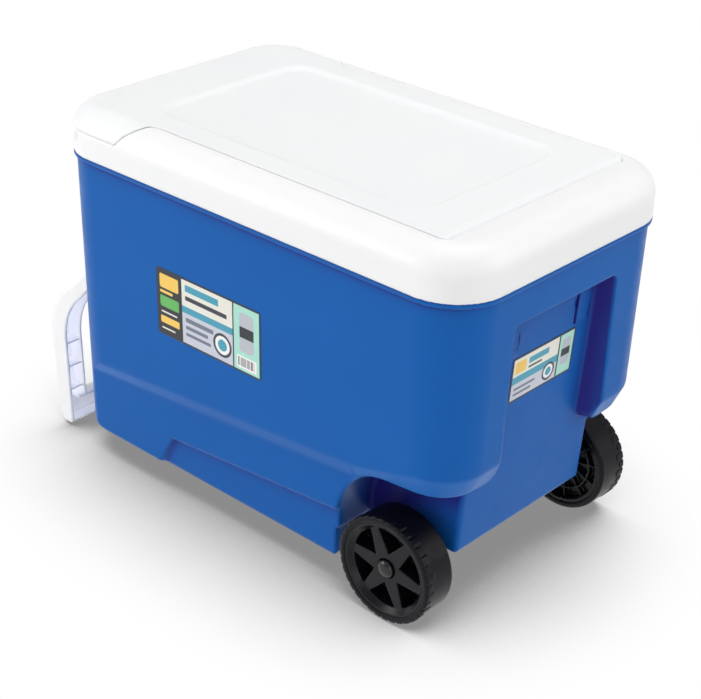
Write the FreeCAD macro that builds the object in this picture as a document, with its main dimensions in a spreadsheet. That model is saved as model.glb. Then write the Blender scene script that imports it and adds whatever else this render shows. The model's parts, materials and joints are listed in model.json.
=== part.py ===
import FreeCAD, Part
import math
import os
import Sketcher

# Wheeled ice chest, 560 x 336 mm over the rim, +X towards the wheels, +Y to its left side, +Z up.
# The origin lies on the floor under the middle of the whole object, tow handle included.

doc = FreeCAD.newDocument("wheeled_cooler")
sheet = doc.addObject("Spreadsheet::Sheet", "Dims")

DIMENSIONS = [
    # whole object
    ("originShift", 26, "moves the body's own centre so that the origin is mid-length"),
    ("overlap", 1, "how far a cutting or joining shape reaches past a face"),
    ("rimLength", 560, "length over the white rim"),
    ("rimWidth", 336, "width over the white rim"),
    ("rimCorner", 58, "plan radius of the rim's corners"),
    ("rimLow", 366.5, "height of the rim's lower edge above the floor"),
    ("rimTop", 416.5, "height of the rim's flat top"),
    ("rimRound", 26, "rounding of the rim's upper outside edge"),
    # outer shell
    ("beadDepth", 5, "blue bead that carries the rim"),
    ("wallInset", 3.2, "wall below the bead, set in from the rim"),
    ("wallDraft", 1.09, "moulding draft of the walls, degrees"),
    ("draftSlope", 0.01903, "the same draft as a slope"),
    ("baseLow", 32, "underside of the base"),
    ("shellWall", 3, "wall thickness of the shell"),
    ("panelLow", 242, "end panel's distance from mid-length at its lower edge"),
    ("panelSlope", 0.0615, "end panel's lean per millimetre of height"),
    ("panelLowZ", 66, "lower edge of the end panel"),
    ("scoopTop", 324, "top of the recess that serves as a hand hold"),
    ("scoopHalf", 80, "half the clear width between the corner pillars"),
    ("pillarLow", 152, "underside of the corner pillars"),
    ("pillarInner", 178, "underside of the pillars at their inner edge"),
    ("pillarSlopeY", 119, "where the underside of a pillar starts to rise"),
    ("wellWall", 102.5, "inner wall of a wheel well, from the middle"),
    ("wellFront", 129, "front of the wheel well"),
    ("wellRun", 62, "length of the arch over the wheel"),
    ("wellSpring", 80, "height at which the arch starts"),
    ("bayFront", 125, "front of the bay under the base for the axle"),
    ("bandDepth", 5, "how far the lower side wall steps in"),
    ("bandDrop", 16, "height of the step's chamfer"),
    ("bandLowZ", 116.7, "step's height at the handle end"),
    ("bandRise", 52.7, "rise of the step over its run"),
    ("bandRun", 600, "run of the step"),
    ("wedgeRear", -111, "start of the second, deeper step"),
    ("wedgeRearZ", 67, "its height there"),
    ("wedgeFrontZ", 88, "its height at the wheel well"),
    ("footX", -195, "middle of a moulded foot"),
    ("footHalfX", 30, "half a foot's length"),
    ("footInner", 45, "inner side of a foot"),
    ("footOuter", 98, "outer side of a foot"),
    ("bossHalf", 14, "half the width of an axle boss"),
    ("bossLow", 46, "underside of an axle boss"),
    ("bossInner", 84, "inner face of an axle boss"),
    # inner liner
    ("mouthX", -18, "middle of the cavity along the length"),
    ("mouthHalfX", 214, "half the cavity's length"),
    ("mouthHalfY", 130, "half the cavity's width"),
    ("mouthCorner", 45, "corner radius of the cavity"),
    ("floorLow", 75, "cavity floor"),
    ("floorHigh", 180, "raised cavity floor over the axle"),
    ("floorStepX", 115, "where the floor rises"),
    ("linerWall", 3, "wall thickness of the liner"),
    ("ledgeZ", 393.5, "ledge that the lid rests on"),
    ("lidBedHalf", 136.5, "half the width of the bed for the lid"),
    ("lidBedEnd", 237.2, "end of the bed for the lid"),
    ("tongueLowX", -176, "where the lid's full-width tongue starts at the ledge"),
    ("tongueHighX", -152, "where it starts at the rim's top"),
    ("foamTop", 388, "top of the foam inside the rim"),
    ("foamInset", 4, "foam set in from the rim's outside"),
    # lid
    ("lidGap", 0.7, "gap round the lid"),
    ("lidRest", 0.4, "gap between lid and ledge"),
    ("lidAxisX", 226, "lid hinge axis, along"),
    ("lidAxisZ", 407, "lid hinge axis, height"),
    ("lidEdge", 9.5, "radius of the lid's rounded hinge edge"),
    ("lidWall", 3, "wall thickness of the lid"),
    ("trayDepth", 4.5, "depth of the tray on the lid"),
    ("traySlope", 45, "slope of the tray's sides, degrees"),
    ("trayX", -3, "middle of the tray"),
    ("trayHalfX", 180, "half the tray's length"),
    ("trayHalfY", 106, "half the tray's width"),
    ("hollowX", -23, "middle of the space inside the lid"),
    ("hollowHalfX", 231, "half its length"),
    ("hollowHalfY", 128, "half its width"),
    ("plugLow", 380, "underside of the plug that hangs into the cavity"),
    ("plugX", -20, "middle of the plug"),
    ("plugHalfX", 207, "half the plug's length"),
    ("plugHalfY", 122, "half the plug's width"),
    ("hingePin", 2.45, "radius of a lid hinge pin"),
    ("hingePinIn", 123, "inner end of a hinge pin"),
    ("hingePinOut", 146, "outer end of a hinge pin"),
    ("hingeBore", 2.5, "radius of the bore it turns in"),
    # tow handle
    ("pivotX", -248, "handle pivot, along"),
    ("pivotZ", 218, "handle pivot, height"),
    ("legOuter", 143, "outer face of a handle leg"),
    ("legInner", 118, "inner face of a handle leg"),
    ("legNeck", 7.25, "half the leg's thickness next to its eye"),
    ("kneeOuterX", -257, "centre of the knee's outer arc"),
    ("kneeInnerX", -232, "centre of its inner arc"),
    ("kneeZ", 116, "height of both centres"),
    ("kneeRadius", 75, "radius of both arcs"),
    ("kneeOuterFrom", 134, "angle at which the outer arc starts, degrees"),
    ("kneeInnerFrom", 130, "angle at which the inner arc starts, degrees"),
    ("channelFrom", 142, "angle at which the hollow behind the outer arc starts, degrees"),
    ("neckAngle", 46, "direction across the leg next to its eye, degrees"),
    ("ribLow", 46, "lowest rib in a leg"),
    ("ribStep", 29.5, "spacing of the ribs"),
    ("ribThick", 2.5, "thickness of a rib"),
    ("gripLow", 4, "underside of the grip"),
    ("gripHigh", 36, "upper side of the grip"),
    ("gripOut", -322, "outer face of the grip"),
    ("gripIn", -302, "inner face of the grip"),
    ("handleWall", 3, "wall thickness of the handle's channel"),
    ("eyeRadius", 13, "radius of the leg's eye"),
    ("pocketOuter", 147, "outer side of the pocket for a leg"),
    ("pocketInner", 114, "inner side of the pocket"),
    ("pocketDeep", -233, "bottom of the pocket"),
    ("pocketLow", 178, "lower end of the pocket"),
    ("pocketHigh", 290, "upper end of the pocket"),
    ("pinInner", 109.5, "inner end of a handle pin"),
    ("pinOuter", 149, "outer end of a handle pin"),
    ("handlePin", 4, "radius of a handle pin"),
    ("handleBore", 4.06, "radius of the bore it turns in"),
    # running gear
    ("axleX", 200.8, "axle, along"),
    ("axleZ", 58, "axle, height, which is also the tyre's radius"),
    ("axleRadius", 5, "axle radius"),
    ("axleHalf", 163, "half the axle's length"),
    ("wheelInner", 125.7, "inner face of a wheel"),
    ("wheelWidth", 39, "width of a wheel"),
    ("rimSeat", 51, "radius at which tyre and wheel meet"),
    ("bushBore", 5.06, "bore radius of a wheel bush"),
    ("bushRadius", 7, "outer radius of a wheel bush"),
    ("hubRadius", 13, "radius of a wheel's hub"),
    ("hubTop", 30, "outer end of the hub, from the wheel's inner face"),
    ("hubSeat", 10.6, "radius of the recess in the hub for washer and cap"),
    ("webLow", 12, "inner face of the closed web"),
    ("webThick", 2.5, "thickness of the web"),
    ("webTop", 33.5, "outer face of the spokes"),
    ("wheelSetback", 1, "wheel's rim, set back from the tyre's edges"),
    ("hubSetback", 2, "hub, set back from the wheel's inner face"),
    ("bandInner", 5, "thickness of the wheel's rim on its inner side"),
    ("bandOuter", 3, "thickness of the wheel's rim at its outer edge"),
    ("dishRun", 8, "width of the dish's slope, from the tyre seat inwards"),
    ("windowInner", 17, "inner end of a hollow between two spokes"),
    ("windowInnerHalf", 4.6, "half its width there"),
    ("windowOuter", 37.5, "outer end of a hollow"),
    ("windowOuterHalf", 18.2, "half its width there"),
    ("tyreChamfer", 2, "chamfer of the tyre's edges"),
    ("collarThick", 4, "thickness of spacers and washers round the axle"),
    ("washerThick", 1.2, "length of an axle washer"),
    ("wheelPlay", 0.3, "end play of a wheel on the axle"),
    ("capInner", 157.4, "inner end of a hub cap, from the middle"),
    ("capRadius", 9.8, "radius of a hub cap"),
    ("capSkirt", 3, "length of a hub cap's straight skirt"),
    ("capHeight", 7.5, "height of a hub cap"),
    # labels
    ("labelThick", 0.25, "thickness of a label"),
    ("sideLabelX", -123, "rear edge of the label on the right side"),
    ("sideLabelLow", 200.5, "its lower edge"),
    ("sideLabelLength", 152, "its length"),
    ("sideLabelHeight", 77, "its height"),
    ("endLabelLow", 220, "lower edge of the label on the end panel"),
    ("endLabelLength", 100, "its length"),
    ("endLabelHeight", 50, "its height"),
    ("panelLean", 3.519, "lean of the end panel, degrees"),
]
for row, (alias, value, note) in enumerate(DIMENSIONS, start=1):
    sheet.set(f"A{row}", alias)
    sheet.set(f"B{row}", str(value))
    sheet.set(f"C{row}", note)
    sheet.setAlias(f"B{row}", alias)
doc.recompute()

AXES = {
    "XY": FreeCAD.Rotation(0, 0, 0, 1),
    "XZ": FreeCAD.Rotation(FreeCAD.Vector(1, 0, 0), 90),
    "YZ": FreeCAD.Rotation(FreeCAD.Vector(1, 1, 1), 120),
}
NORMALS = {"XY": (0, 0, 1), "XZ": (0, 1, 0), "YZ": (1, 0, 0)}
OFFSETS = {"XY": "z", "XZ": "y", "YZ": "x"}
ALONG_Y = FreeCAD.Rotation(FreeCAD.Vector(1, 0, 0), -90)
ALONG_MINUS_Y = FreeCAD.Rotation(FreeCAD.Vector(1, 0, 0), 90)


def dims(formula):
    """Turns @alias in a formula into a reference to the sheet."""
    return formula.replace("@", "Dims.")


def bind(obj, **formulas):
    """Binds properties to the sheet; a double underscore in a name stands for a dot."""
    for name, formula in formulas.items():
        obj.setExpression(name.replace("__", "."), dims(formula))


def number(alias):
    return float(sheet.get(alias))


def draw_polygon(sketch, vertices):
    """Draws a closed outline whose corners are bound to pairs of formulas."""
    count = len(vertices)
    spread = FreeCAD.Vector(100, 0, 0)
    turn = FreeCAD.Rotation(FreeCAD.Vector(0, 0, 1), 360 / count)
    corners = [spread]
    for _ in range(count - 1):
        corners.append(turn.multVec(corners[-1]))
    for i, corner in enumerate(corners):
        sketch.addGeometry(Part.LineSegment(corner, corners[(i + 1) % count]), False)
    for i in range(count):
        sketch.addConstraint(Sketcher.Constraint("Coincident", i, 2, (i + 1) % count, 1))
    for i, (across, up) in enumerate(vertices):
        for kind, value, formula in (("DistanceX", corners[i].x, across), ("DistanceY", corners[i].y, up)):
            index = sketch.addConstraint(Sketcher.Constraint(kind, -1, 1, i, 1, value))
            name = f"{'across' if kind == 'DistanceX' else 'up'}{i}"
            sketch.renameConstraint(index, name)
            sketch.setExpression(f"Constraints.{name}", dims(formula))


def draw_rounded(sketch, centre, half_x, half_y, radius):
    """Draws a rectangle with round corners, four straight sides first and then four arcs."""
    a, b, r = 100, 60, 20
    v = FreeCAD.Vector
    sides = [(v(-a + r, -b, 0), v(a - r, -b, 0)), (v(a, -b + r, 0), v(a, b - r, 0)),
             (v(a - r, b, 0), v(-a + r, b, 0)), (v(-a, b - r, 0), v(-a, -b + r, 0))]
    for start, end in sides:
        sketch.addGeometry(Part.LineSegment(start, end), False)
    corners = [(v(a - r, -b + r, 0), -90), (v(a - r, b - r, 0), 0),
               (v(-a + r, b - r, 0), 90), (v(-a + r, -b + r, 0), 180)]
    for middle, start in corners:
        first = math.radians(start)
        circle = Part.Circle(middle, v(0, 0, 1), r)
        sketch.addGeometry(Part.ArcOfCircle(circle, first, first + math.pi / 2), False)
    for i in range(4):
        sketch.addConstraint(Sketcher.Constraint("Tangent", i, 2, 4 + i, 1))
        sketch.addConstraint(Sketcher.Constraint("Tangent", 4 + i, 2, (i + 1) % 4, 1))
        sketch.addConstraint(Sketcher.Constraint("Horizontal" if i % 2 == 0 else "Vertical", i))
    for i in range(1, 4):
        sketch.addConstraint(Sketcher.Constraint("Equal", 4, 4 + i))
    named = [("radius", Sketcher.Constraint("Radius", 4, r), radius),
             ("right", Sketcher.Constraint("DistanceX", -1, 1, 1, 1, a), f"({centre}) + ({half_x})"),
             ("left", Sketcher.Constraint("DistanceX", -1, 1, 3, 1, -a), f"({centre}) - ({half_x})"),
             ("top", Sketcher.Constraint("DistanceY", -1, 1, 2, 1, b), half_y),
             ("bottom", Sketcher.Constraint("DistanceY", -1, 1, 0, 1, -b), f"-({half_y})")]
    for name, constraint, formula in named:
        index = sketch.addConstraint(constraint)
        sketch.renameConstraint(index, name)
        sketch.setExpression(f"Constraints.{name}", dims(formula))


def block(name, x, y, z):
    """A box between three pairs of low and high formulas."""
    box = doc.addObject("Part::Box", name)
    bind(box, Length=f"({x[1]}) - ({x[0]})", Width=f"({y[1]}) - ({y[0]})", Height=f"({z[1]}) - ({z[0]})",
         Placement__Base__x=x[0], Placement__Base__y=y[0], Placement__Base__z=z[0])
    return box


def rod(name, radius, x, y, z):
    """A cylinder along Y between a low and a high formula."""
    bar = doc.addObject("Part::Cylinder", name)
    bar.Placement = FreeCAD.Placement(FreeCAD.Vector(), ALONG_Y)
    bind(bar, Radius=radius, Height=f"({y[1]}) - ({y[0]})",
         Placement__Base__x=x, Placement__Base__y=y[0], Placement__Base__z=z)
    return bar


def extrude(name, sketch, plane, low, high, lean=None, draft=None):
    """Extrudes a sketch from low to high along its plane's normal, or along a leaning direction."""
    sketch.Placement = FreeCAD.Placement(FreeCAD.Vector(), AXES[plane])
    sketch.setExpression("Placement.Base." + OFFSETS[plane], dims(low))
    solid = doc.addObject("Part::Extrusion", name)
    solid.Base = sketch
    solid.DirMode = "Custom"
    solid.Solid = True
    solid.Dir = FreeCAD.Vector(*NORMALS[plane])
    if lean:
        bind(solid, Dir__z=lean)
    solid.setExpression("LengthFwd", dims(f"({high}) - ({low})"))
    if draft:
        solid.setExpression("TaperAngle", dims(draft))
    return solid


def prism(name, plane, vertices, low, high):
    sketch = doc.addObject("Sketcher::SketchObject", name + "_outline")
    draw_polygon(sketch, vertices)
    return extrude(name, sketch, plane, low, high)


def slab(name, centre, half_x, half_y, radius, low, high, draft=None):
    """An upright block with round corners, drafted outwards from low to high if draft is given."""
    sketch = doc.addObject("Sketcher::SketchObject", name + "_outline")
    draw_rounded(sketch, centre, half_x, half_y, radius)
    return extrude(name, sketch, "XY", low, high, draft=draft)


def fuse(name, *shapes):
    joined = doc.addObject("Part::MultiFuse", name)
    joined.Shapes = list(shapes)
    return joined


def common(name, *shapes):
    shared = doc.addObject("Part::MultiCommon", name)
    shared.Shapes = list(shapes)
    return shared


def cut(name, base, *tools):
    """Takes the tools away from the base."""
    remains = doc.addObject("Part::Cut", name)
    remains.Base = base
    remains.Tool = tools[0] if len(tools) == 1 else fuse(name + "_tools", *tools)
    return remains


def both_sides(name, shape):
    """The shape and its mirror image across the XZ plane."""
    image = doc.addObject("Part::Mirroring", name + "_image")
    image.Source = shape
    image.Normal = FreeCAD.Vector(0, 1, 0)
    return fuse(name, shape, image)


nodes = {}


def keep(label, obj, along="0"):
    """Names a finished sub-part and moves it from the body's own centre to the origin."""
    obj.Label = label
    bind(obj, Placement__Base__x=f"@originShift + {along}")
    nodes[label] = obj


# ---------------------------------------------------------------- outer shell and its foam space

def tub_form(name, inset, low, high):
    """The drafted tub under the rim, with its walls moved in by inset."""
    drop = f"@wallInset + @draftSlope * (@rimLow - ({low})) + {inset}"
    return slab(name, "0", f"@rimLength / 2 - ({drop})", f"@rimWidth / 2 - ({drop})",
                f"@rimCorner - ({drop})", low, high, draft="@wallDraft")


def end_pocket(name, grow):
    """Space in front of the end panel: between the pillars, and all that lies below them."""
    far_x = "@rimLength"
    top = f"@scoopTop + {grow}"
    wedge = prism(name + "_wedge", "XZ", [(f"@panelLow - {grow} - @panelSlope * @panelLowZ", "0"),
                                          (f"@panelLow - {grow} + @panelSlope * ({top} - @panelLowZ)", top),
                                          (far_x, top), (far_x, "0")],
                  "-@rimWidth", "@rimWidth")
    side = [("@rimWidth", "0"), ("@rimWidth", f"@pillarLow + {grow}"),
            ("@pillarSlopeY", f"@pillarLow + {grow}"), (f"@scoopHalf + {grow}", f"@pillarInner + {grow}"),
            (f"@scoopHalf + {grow}", top)]
    mirrored = [(f"-({across})", up) for across, up in reversed(side)]
    face = prism(name + "_face", "YZ", side + mirrored, "@panelLow / 2", far_x)
    return common(name, wedge, face)


ARCH_STEPS = 5


def wheel_wells(name, grow):
    """Both wheel wells; each arch is a quarter ellipse that runs out level at the end."""
    front = f"@wellFront - {grow}"
    top = f"@pillarLow + {grow}"
    arch = [(front, "0")]
    for step in range(ARCH_STEPS + 1):
        angle = f"{step * 90 / ARCH_STEPS} deg"
        arch.append((f"{front} + @wellRun * (1 - cos({angle}))",
                     f"@wellSpring + ({top} - @wellSpring) * sin({angle})"))
    arch += [("@rimLength", top), ("@rimLength", "0")]
    return both_sides(name, prism(name + "_left", "XZ", arch, f"@wellWall - {grow}", "@rimWidth"))


def side_steps(name, grow):
    """Everything outside the lower side walls, under the rising step, and the deeper step below it."""
    sketch = doc.addObject("Sketcher::SketchObject", name + "_outline")
    wall = f"@rimWidth / 2 - @wallInset - @draftSlope * (@rimLow - @bandLowZ) - {grow}"
    slant_low = f"@bandLowZ - @bandDrop + {grow}"
    slant_high = f"@bandLowZ + @bandDrop + {grow}"
    draw_polygon(sketch, [(f"{wall} - @bandDepth", "-@rimWidth"), (f"{wall} - @bandDepth", slant_low),
                          (f"{wall} + @bandDepth", slant_high), ("@rimWidth", slant_high),
                          ("@rimWidth", "-@rimWidth")])
    upper = extrude(name + "_upper", sketch, "YZ", "-@bandRun / 2", "@bandRun / 2",
                    lean="@bandRise / @bandRun")
    wedge = [(f"@wedgeRear - {grow}", "0"), (f"@wedgeRear - {grow}", f"@wedgeRearZ + {grow}"),
             ("@wellFront + @overlap", f"@wedgeFrontZ + {grow}"), ("@wellFront + @overlap", "0")]
    lower = prism(name + "_lower", "XZ", wedge, f"{wall} - 2 * @bandDepth", "@rimWidth")
    return both_sides(name, fuse(name + "_left", upper, lower))


def axle_bay(name, grow):
    """The space under the raised end of the base."""
    return block(name, (f"@bayFront - {grow}", "@rimLength"), ("-@rimWidth", "@rimWidth"),
                 ("0", f"@panelLowZ + {grow}"))


def handle_pockets(name, deeper, wider, longer):
    """Pockets in the corners of the handle end, one for each leg of the tow handle."""
    return both_sides(name, block(name + "_left", ("-@rimLength", f"@pocketDeep + {deeper}"),
                                  (f"@pocketInner - {wider}", f"@pocketOuter + {wider}"),
                                  (f"@pocketLow - {longer}", f"@pocketHigh + {longer}")))


bead_low = "@rimLow - @beadDepth"
tub = tub_form("tub", "0", "@baseLow", bead_low)
bead = slab("bead", "0", "@rimLength / 2", "@rimWidth / 2", "@rimCorner", bead_low, "@rimLow")
feet = both_sides("feet", block("foot_left", ("@footX - @footHalfX", "@footX + @footHalfX"),
                                ("@footInner", "@footOuter"), ("0", "@baseLow + @shellWall")))
bosses = both_sides("axle_bosses", block("axle_boss_left", ("@axleX - @bossHalf", "@axleX + @bossHalf"),
                                         ("@bossInner", "@wellWall"),
                                         ("@bossLow", "@panelLowZ + @shellWall")))
foam_tub = tub_form("foam_tub", "@shellWall", "@baseLow + @shellWall", "@rimLow")
foam_space = cut("foam_space", foam_tub, end_pocket("inner_end_pocket", "@shellWall"),
                 wheel_wells("inner_wells", "@shellWall"), side_steps("inner_steps", "@shellWall"),
                 axle_bay("inner_bay", "@shellWall"),
                 handle_pockets("inner_pockets", "@shellWall", "2 * @shellWall", "@shellWall"))
axle_bore = rod("axle_bore", "@axleRadius", "@axleX", ("-@axleHalf", "@axleHalf"), "@axleZ")
pin_bores = both_sides("handle_pin_bores", rod("handle_pin_bore_left", "@handlePin", "@pivotX",
                                               ("@pinInner", "@pinOuter"), "@pivotZ"))
hollow_tub = cut("hollow_tub", fuse("tub_and_bead", tub, bead), foam_space, end_pocket("end_recess", "0"),
                 wheel_wells("wells", "0"), side_steps("steps", "0"), axle_bay("bay", "0"),
                 handle_pockets("pockets", "0", "0", "0"))
outer_shell = cut("shell", fuse("shell_solid", hollow_tub, feet, bosses), axle_bore, pin_bores)
keep("outer_shell", outer_shell)

# ---------------------------------------------------------------- white liner with its rim, and the foam

def round_top(name, block_shape, radius):
    """Rounds the upper outside edges of an upright block."""
    doc.recompute()
    top = block_shape.Shape.BoundBox.ZMax
    rounded = doc.addObject("Part::Fillet", name)
    rounded.Base = block_shape
    rounded.Edges = [(index, radius, radius) for index, edge in enumerate(block_shape.Shape.Edges, start=1)
                     if edge.BoundBox.ZMin > top - 0.01]
    return rounded


def cavity(name, grow, top):
    """The cold space, with a floor that steps up over the axle, grown outwards by grow."""
    upper = slab(name + "_upper", "@mouthX", f"@mouthHalfX + {grow}", f"@mouthHalfY + {grow}",
                 f"@mouthCorner + {grow}", f"@floorHigh - {grow}", top)
    lower = slab(name + "_lower", "@mouthX", f"@mouthHalfX + {grow}", f"@mouthHalfY + {grow}",
                 f"@mouthCorner + {grow}", f"@floorLow - {grow}", "@floorHigh + @overlap")
    front = block(name + "_front", ("-@rimLength", f"@floorStepX + {grow}"), ("-@rimWidth", "@rimWidth"),
                  ("0", "@rimTop"))
    return fuse(name, upper, common(name + "_deep", lower, front))


def lid_bed(name, gap, rest, end):
    """The lid's space in the rim: a bed between the sides, and a tongue over the whole handle end."""
    above = "@rimTop + @lidWall"
    low = f"@ledgeZ + {rest}"
    tongue = prism(name + "_tongue", "XZ", [("-@rimLength", low), (f"@tongueLowX - {gap}", low),
                                            (f"@tongueHighX - {gap}", above), ("-@rimLength", above)],
                   "-@rimWidth", "@rimWidth")
    bed_half = f"@lidBedHalf - {gap}"
    bed = block(name + "_bed", ("@tongueLowX - @lidWall", end), (f"-({bed_half})", bed_half), (low, above))
    return fuse(name, tongue, bed)


rim = round_top("rim", slab("rim_block", "0", "@rimLength / 2", "@rimWidth / 2", "@rimCorner", "@rimLow",
                            "@rimTop"), number("rimRound"))
rim_foam = slab("rim_foam", "0", "@rimLength / 2 - @foamInset", "@rimWidth / 2 - @foamInset",
                "@rimCorner - @foamInset", "@rimLow", "@foamTop")
foam_ring = cut("foam_ring", rim_foam, cavity("ring_tub", "@linerWall", "@ledgeZ"))
hinge_bores = both_sides("rim_hinge_bores", rod("rim_hinge_bore_left", "@hingePin", "@lidAxisX",
                                                ("@lidBedHalf - @overlap", "@hingePinOut"), "@lidAxisZ"))
inner_liner = cut("liner", fuse("liner_solid", rim, cavity("liner_tub", "@linerWall", "@ledgeZ")),
                  lid_bed("rim_bed", "0", "0", "@lidBedEnd"), cavity("cold_space", "0", "@rimTop"),
                  foam_ring, hinge_bores)
keep("inner_liner", inner_liner)
foam_core = fuse("foam", cut("foam_below_rim", foam_space, cavity("foam_tub_space", "@linerWall", "@ledgeZ")),
                 foam_ring)
keep("foam_core", foam_core)

# ---------------------------------------------------------------- lid

def lid_hollow(name, low):
    """The space inside the lid, from low up to the underside of the tray."""
    return slab(name, "@hollowX", "@hollowHalfX", "@hollowHalfY", "@mouthCorner", low,
                "@rimTop - @trayDepth - @lidWall")


def lid_plug(name, inset, low, high):
    """The plug under the lid, with its walls moved in by inset."""
    return slab(name, "@plugX", f"@plugHalfX - {inset}", f"@plugHalfY - {inset}", f"@mouthCorner - {inset}",
                low, high)


lid_low = "@ledgeZ + @lidRest"
plate_top = f"{lid_low} + @lidWall"
lid_side = "@lidBedHalf - @lidGap"
lid_block = common("lid_block", rim, lid_bed("lid_space", "@lidGap", "@lidRest", "@lidAxisX"))
hinge_edge = rod("lid_hinge_edge", "@lidEdge", "@lidAxisX", (f"-({lid_side})", lid_side), "@lidAxisZ")
lid_form = fuse("lid_form", lid_block, hinge_edge)
tray = slab("tray", "@trayX", "@trayHalfX - @trayDepth", "@trayHalfY - @trayDepth", "@mouthCorner",
            "@rimTop - @trayDepth", "@rimTop + @overlap", draft="@traySlope")
lid_bores = both_sides("lid_bores", rod("lid_bore_left", "@hingeBore", "@lidAxisX",
                                        ("@hingePinIn - @overlap", "@rimWidth / 2"), "@lidAxisZ"))
lid_top = cut("lid", lid_form, tray, lid_hollow("lid_hollow", "@ledgeZ - @overlap"), lid_bores)
keep("lid_top", lid_top)
plate = cut("lid_plate", lid_hollow("plate_block", lid_low),
            block("plate_cutter", ("-@rimLength", "@rimLength"), ("-@rimWidth", "@rimWidth"),
                  (plate_top, "@rimTop + @overlap")))
lid_underside = cut("underside", fuse("underside_solid", plate, lid_plug("plug", "0", "@plugLow", lid_low)),
                    lid_plug("plug_hollow", "@lidWall", "@plugLow + @lidWall", "@rimTop"))
keep("lid_underside", lid_underside)
lid_foam = fuse("lid_filling", lid_hollow("lid_filling_upper", plate_top),
                lid_plug("lid_filling_lower", "@lidWall", "@plugLow + @lidWall", plate_top))
keep("lid_foam", lid_foam)

# ---------------------------------------------------------------- tow handle

KNEE_STEPS = 6


def knee_arc(centre_x, radius, first, last):
    """Points on the leg's knee, an arc about one of its two centres."""
    points = []
    for step in range(KNEE_STEPS + 1):
        angle = f"({first} + ({last} - ({first})) * {step} / {KNEE_STEPS}) * 1 deg"
        points.append((f"{centre_x} + ({radius}) * cos({angle})", f"@kneeZ + ({radius}) * sin({angle})"))
    return points


neck_across = "@legNeck * cos(@neckAngle * 1 deg)"
neck_up = "@legNeck * sin(@neckAngle * 1 deg)"
leg_outline = ([(f"@pivotX - {neck_across}", f"@pivotZ + {neck_up}")]
               + knee_arc("@kneeOuterX", "@kneeRadius", "@kneeOuterFrom", "180")
               + [("@gripOut", "@gripLow + 2 * @handleWall"), ("@gripOut + 2 * @handleWall", "@gripLow"),
                  ("@gripIn", "@gripLow")]
               + knee_arc("@kneeInnerX", "@kneeRadius", "180", "@kneeInnerFrom")
               + [(f"@pivotX + {neck_across}", f"@pivotZ - {neck_up}")])
leg_bar = prism("leg_left_bar", "XZ", leg_outline, "@legInner", "@legOuter")
leg_eye = rod("leg_left_eye", "@eyeRadius", "@pivotX", ("@legInner", "@legOuter"), "@pivotZ")
leg = fuse("leg_left", leg_bar, leg_eye)
channel_outline = (knee_arc("@kneeOuterX", "@kneeRadius - @handleWall", "@channelFrom", "180")
                   + [("@gripOut + @handleWall", "@gripLow + 3 * @handleWall"),
                      ("@gripOut + 3 * @handleWall", "@gripLow + @handleWall"),
                      ("@kneeInnerX", "@gripLow + @handleWall"),
                      ("@kneeInnerX", "@kneeZ"), ("@kneeInnerX - @eyeRadius", "@pivotZ - @eyeRadius * 3")])
channel = prism("leg_left_channel", "XZ", channel_outline, "@legInner + @handleWall",
                "@legOuter - @handleWall")
rib_levels = [block(f"leg_left_rib_{i}", ("-@rimLength", "0"), ("@legInner", "@legOuter"),
                    (f"@ribLow + {i} * @ribStep", f"@ribLow + {i} * @ribStep + @ribThick"))
              for i in range(3)]
ribs = common("leg_left_ribs", leg_bar, fuse("leg_left_rib_levels", *rib_levels))
legs = both_sides("legs", fuse("leg_left_ribbed", cut("leg_left_hollow", leg, channel), ribs))
grip = block("grip", ("@gripOut", "@gripIn"), ("-@legInner - @overlap", "@legInner + @overlap"),
             ("@gripLow", "@gripHigh"))
grip_channel = block("grip_channel", ("@gripOut + @handleWall", "@gripIn + @overlap"),
                     ("-@legOuter + @handleWall", "@legOuter - @handleWall"),
                     ("@gripLow + @handleWall", "@gripHigh - @handleWall"))
handle_bores = rod("handle_bore", "@handleBore", "@pivotX", ("-@rimWidth", "@rimWidth"), "@pivotZ")
keep("tow_handle", cut("handle", fuse("handle_solid", legs, grip), grip_channel, handle_bores))

# ---------------------------------------------------------------- pins and axle

def turned(label, outline, along, across, height, facing=ALONG_Y):
    """A revolved body: outline gives (radius, distance) pairs, and distance runs along facing."""
    body = doc.addObject("PartDesign::Body", label + "_body")
    sketch = body.newObject("Sketcher::SketchObject", label + "_outline")
    sketch.AttachmentSupport = [(origin_feature(body, "XZ_Plane"), "")]
    sketch.MapMode = "FlatFace"
    draw_polygon(sketch, outline)
    spin = body.newObject("PartDesign::Revolution", label + "_turned")
    spin.Profile = sketch
    spin.ReferenceAxis = (sketch, ["V_Axis"])
    spin.Angle = 360
    body.Placement = FreeCAD.Placement(FreeCAD.Vector(), facing)
    bind(body, Placement__Base__y=across, Placement__Base__z=height)
    keep(label, body, along)
    return body


def origin_feature(body, role):
    return next(feature for feature in body.Origin.OriginFeatures if feature.Role == role)


def cylinder_outline(radius, length):
    return [("0", "0"), (radius, "0"), (radius, length), ("0", length)]


def ring_outline(inner, outer, length):
    return [(inner, "0"), (outer, "0"), (outer, length), (inner, length)]


for side, sign, facing in (("left", "1", ALONG_Y), ("right", "-1", ALONG_MINUS_Y)):
    turned(f"lid_hinge_pin_{side}", cylinder_outline("@hingePin", "@hingePinOut - @hingePinIn"),
           "@lidAxisX", f"{sign} * @hingePinIn", "@lidAxisZ", facing)
    turned(f"handle_pin_{side}", cylinder_outline("@handlePin", "@pinOuter - @pinInner"),
           "@pivotX", f"{sign} * @pinInner", "@pivotZ", facing)

turned("axle", cylinder_outline("@axleRadius", "2 * @axleHalf"), "@axleX", "-@axleHalf", "@axleZ")

# ---------------------------------------------------------------- wheels and what holds them

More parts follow.
